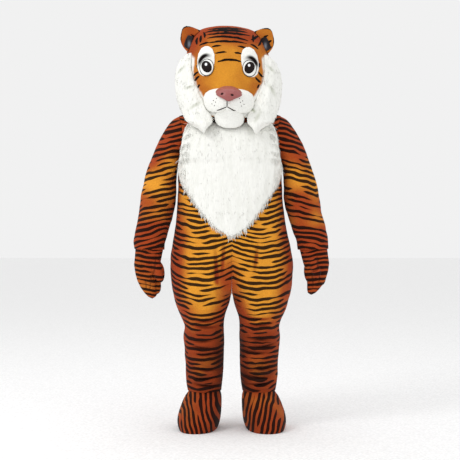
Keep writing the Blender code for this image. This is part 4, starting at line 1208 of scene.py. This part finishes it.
eye_white = two_toned("eye_white", (0.96, 0.96, 0.94), (0.08, 0.06, 0.06), "rim", 0.88, 0.94, 0.4)
eye_dark = two_toned("eye_dark", (0.98, 0.98, 0.98), (0.09, 0.04, 0.03), "glint", 0.20, 0.28, 0.35)
for side, sign in SIDES:
    ground = surface_of(head_shells["front"], bpy.data.objects["brow_fur_" + side])
    eye = oval_dome("eye_dome_" + side, "eye_" + side, ground, EYE_DOME)
    painted(eye, "rim", from_middle(eye, 0.0, 0.0))
    dress(eye, "eye_" + side, (eye_white,))
    lean = PUPIL_LEAN * sign
    pupil = oval_dome("pupil_dome_" + side, "pupil_" + side, surface_of(eye), PUPIL_DOME, lean)
    painted(pupil, "glint", from_middle(pupil, *GLINT))
    dress(pupil, "pupil_" + side, (eye_dark,))


# Mouth and whisker dots

THREAD = 0.0022
# Strokes of the mouth line: x, z
MOUTH = (
    ((-0.0133, 0.0560), (-0.0133, 0.0307)),
    ((-0.0133, 0.0307), (-0.0300, 0.0240), (-0.0460, 0.0185), (-0.0597, 0.0170)),
    ((-0.0133, 0.0307), (0.0010, 0.0230), (0.0140, 0.0170), (0.0265, 0.0150)),
)
# Whisker dots, in mm: x, z
WHISKER_DOTS = in_metres((
    (-60, 68), (-74, 60), (-64, 52), (-80, 46), (-69, 38),
    (42, 66), (56, 57), (46, 50), (62, 43), (51, 35),
))

dark_thread = plain("dark_thread", (0.16, 0.09, 0.08), 0.8)
face_ground = surface_of(head_shells["front"], muzzle, chin)
for index, points in enumerate(MOUTH):
    line = tube("mouth_line_%d" % (index + 1), laid_path(points, face_ground), THREAD)
    small_piece(line, dark_thread)
balls = bmesh.new()
for x, z in WHISKER_DOTS:
    spot = spot_in_front(face_ground, x, z)
    if spot:
        ball = bmesh.ops.create_uvsphere(balls, u_segments=10, v_segments=6, radius=THREAD)
        bmesh.ops.translate(balls, verts=ball["verts"], vec=spot)
dots = as_object("whisker_dots", balls)
dots.data.shade_smooth()
small_piece(dots, dark_thread)


# Ear linings

# The ear's dark fur in parts of its lining: foot, height, breadth, roundness of its ends
EAR_FUR = (0.06, 0.62, 1.1, 0.85)
# The grey tuft in the middle: its place up the lining, half width, half height
TUFT = (0.30, 0.011, 0.024)


def add_ear_lining(side):
    shape = merged("ear_lining_" + side)
    low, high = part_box("ear_lining_" + side)
    middle, height = (low[0] + high[0]) / 2, high[2] - low[2]
    foot, tall, broad, roundness = EAR_FUR
    for corner in shape.verts:
        share = (corner.co.z - low[2]) / height
        corner.co.z = low[2] + height * (foot + tall * share)
        rounding = math.sqrt(max(0.0, 1 - roundness * (2 * share - 1) ** 2))
        corner.co.x = middle + (corner.co.x - middle) * broad * rounding
    lining = softened(None, "ear_fur_" + side, 0.0016, 6, shape)
    tuft_z = low[2] + TUFT[0] * height

    def tuft(place, normal):
        return 0.85 * bump((place.x - middle) / TUFT[1]) * bump((place.z - tuft_z) / TUFT[2])

    painted(lining, "hollow", tuft)
    dress(lining, "ear_lining_" + side, (dark_fur,))


dark_fur = long_pile("dark_fur", (0.10, 0.05, 0.05), (0.46, 0.48, 0.52))
for side in ("left", "right"):
    add_ear_lining(side)


# Zip

TOOTH_SIZE = (0.0044, 0.0018, 0.0024)
TOOTH_STEP = 0.005
TOOTH_OFFSET = (0.0007, 0.0003)
ZIP_END = 0.01
PROBE_STEP = 0.0005


def spot_on_tape(surface, low, high, height):
    """The middle of the tape's width at a height, seen from behind, or None."""
    count = int((high[0] - low[0]) / PROBE_STEP)
    across = [low[0] + PROBE_STEP * step for step in range(count)]
    rays = [surface.ray_cast(Vector((x, 1.0, height)), Vector((0, -1, 0)))[0] for x in across]
    hits = [spot for spot in rays if spot]
    return hits[len(hits) // 2] if hits else None


zip_tape = plain("zip_tape", (0.42, 0.25, 0.14), 0.85)
zip_metal = plain("zip_metal", (0.62, 0.60, 0.55), 0.32, metallic=1.0, depth=0.0001)
tape = smoothed("zip_chain", "zip_tape_strip", 1)
dress(tape, "zip_chain", (zip_tape,))
tape_ground = surface_of(tape)
tooth_row = bmesh.new()
low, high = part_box("zip_chain")
for index in range(int((high[2] - low[2] - 2 * ZIP_END) / TOOTH_STEP)):
    spot = spot_on_tape(tape_ground, low, high, low[2] + ZIP_END + TOOTH_STEP * index)
    if spot:
        tooth = bmesh.ops.create_cube(tooth_row, size=1.0)["verts"]
        bmesh.ops.scale(tooth_row, verts=tooth, vec=TOOTH_SIZE)
        sideways, outwards = TOOTH_OFFSET
        offset = Vector((sideways * (1 if index % 2 else -1), outwards, 0))
        bmesh.ops.translate(tooth_row, verts=tooth, vec=spot + offset)
small_piece(as_object("zip_teeth", tooth_row), zip_metal)
for node, name, body in (("zip_slider", "zip_runner", "suit"), ("zip_pull", "zip_tab", "pull_tab")):
    piece = as_object(name, merged(node))
    dress(piece, node, (zip_metal,), body)


# Floor and light

FLOOR_REACH = 30.0
WORLD_LIGHT = 0.88
LIGHTS_AIM = Vector((0, 0, -0.5))
# Lights: name, place, width, power
LIGHTS = (
    ("key", (-2.8, -2.6, 2.6), 1.4, 58.0),
    ("fill", (2.8, -3.2, 0.8), 2.6, 6.0),
    ("top", (0.0, 0.5, 3.4), 2.5, 22.0),
)

floor_shape = bmesh.new()
bmesh.ops.create_grid(floor_shape, x_segments=1, y_segments=1, size=FLOOR_REACH)
bmesh.ops.translate(floor_shape, verts=floor_shape.verts, vec=(0, 0, FLOOR_Z))
floor = as_object("floor", floor_shape)
floor.data.materials.append(plain("pale_floor", (0.98, 0.98, 0.98), 0.9))

world = bpy.data.worlds.new("studio")
world.use_nodes = True
sky = world.node_tree.nodes["Background"].inputs
sky["Color"].default_value = (1.0, 1.0, 1.0, 1.0)
sky["Strength"].default_value = WORLD_LIGHT
bpy.context.scene.world = world

for name, place, size, power in LIGHTS:
    light = bpy.data.lights.new(name, "AREA")
    light.size = size
    light.energy = power
    lamp = bpy.data.objects.new(name, light)
    lamp.location = place
    lamp.rotation_euler = (LIGHTS_AIM - Vector(place)).to_track_quat("-Z", "Y").to_euler()
    bpy.context.collection.objects.link(lamp)

bpy.context.scene.view_settings.view_transform = "Standard"
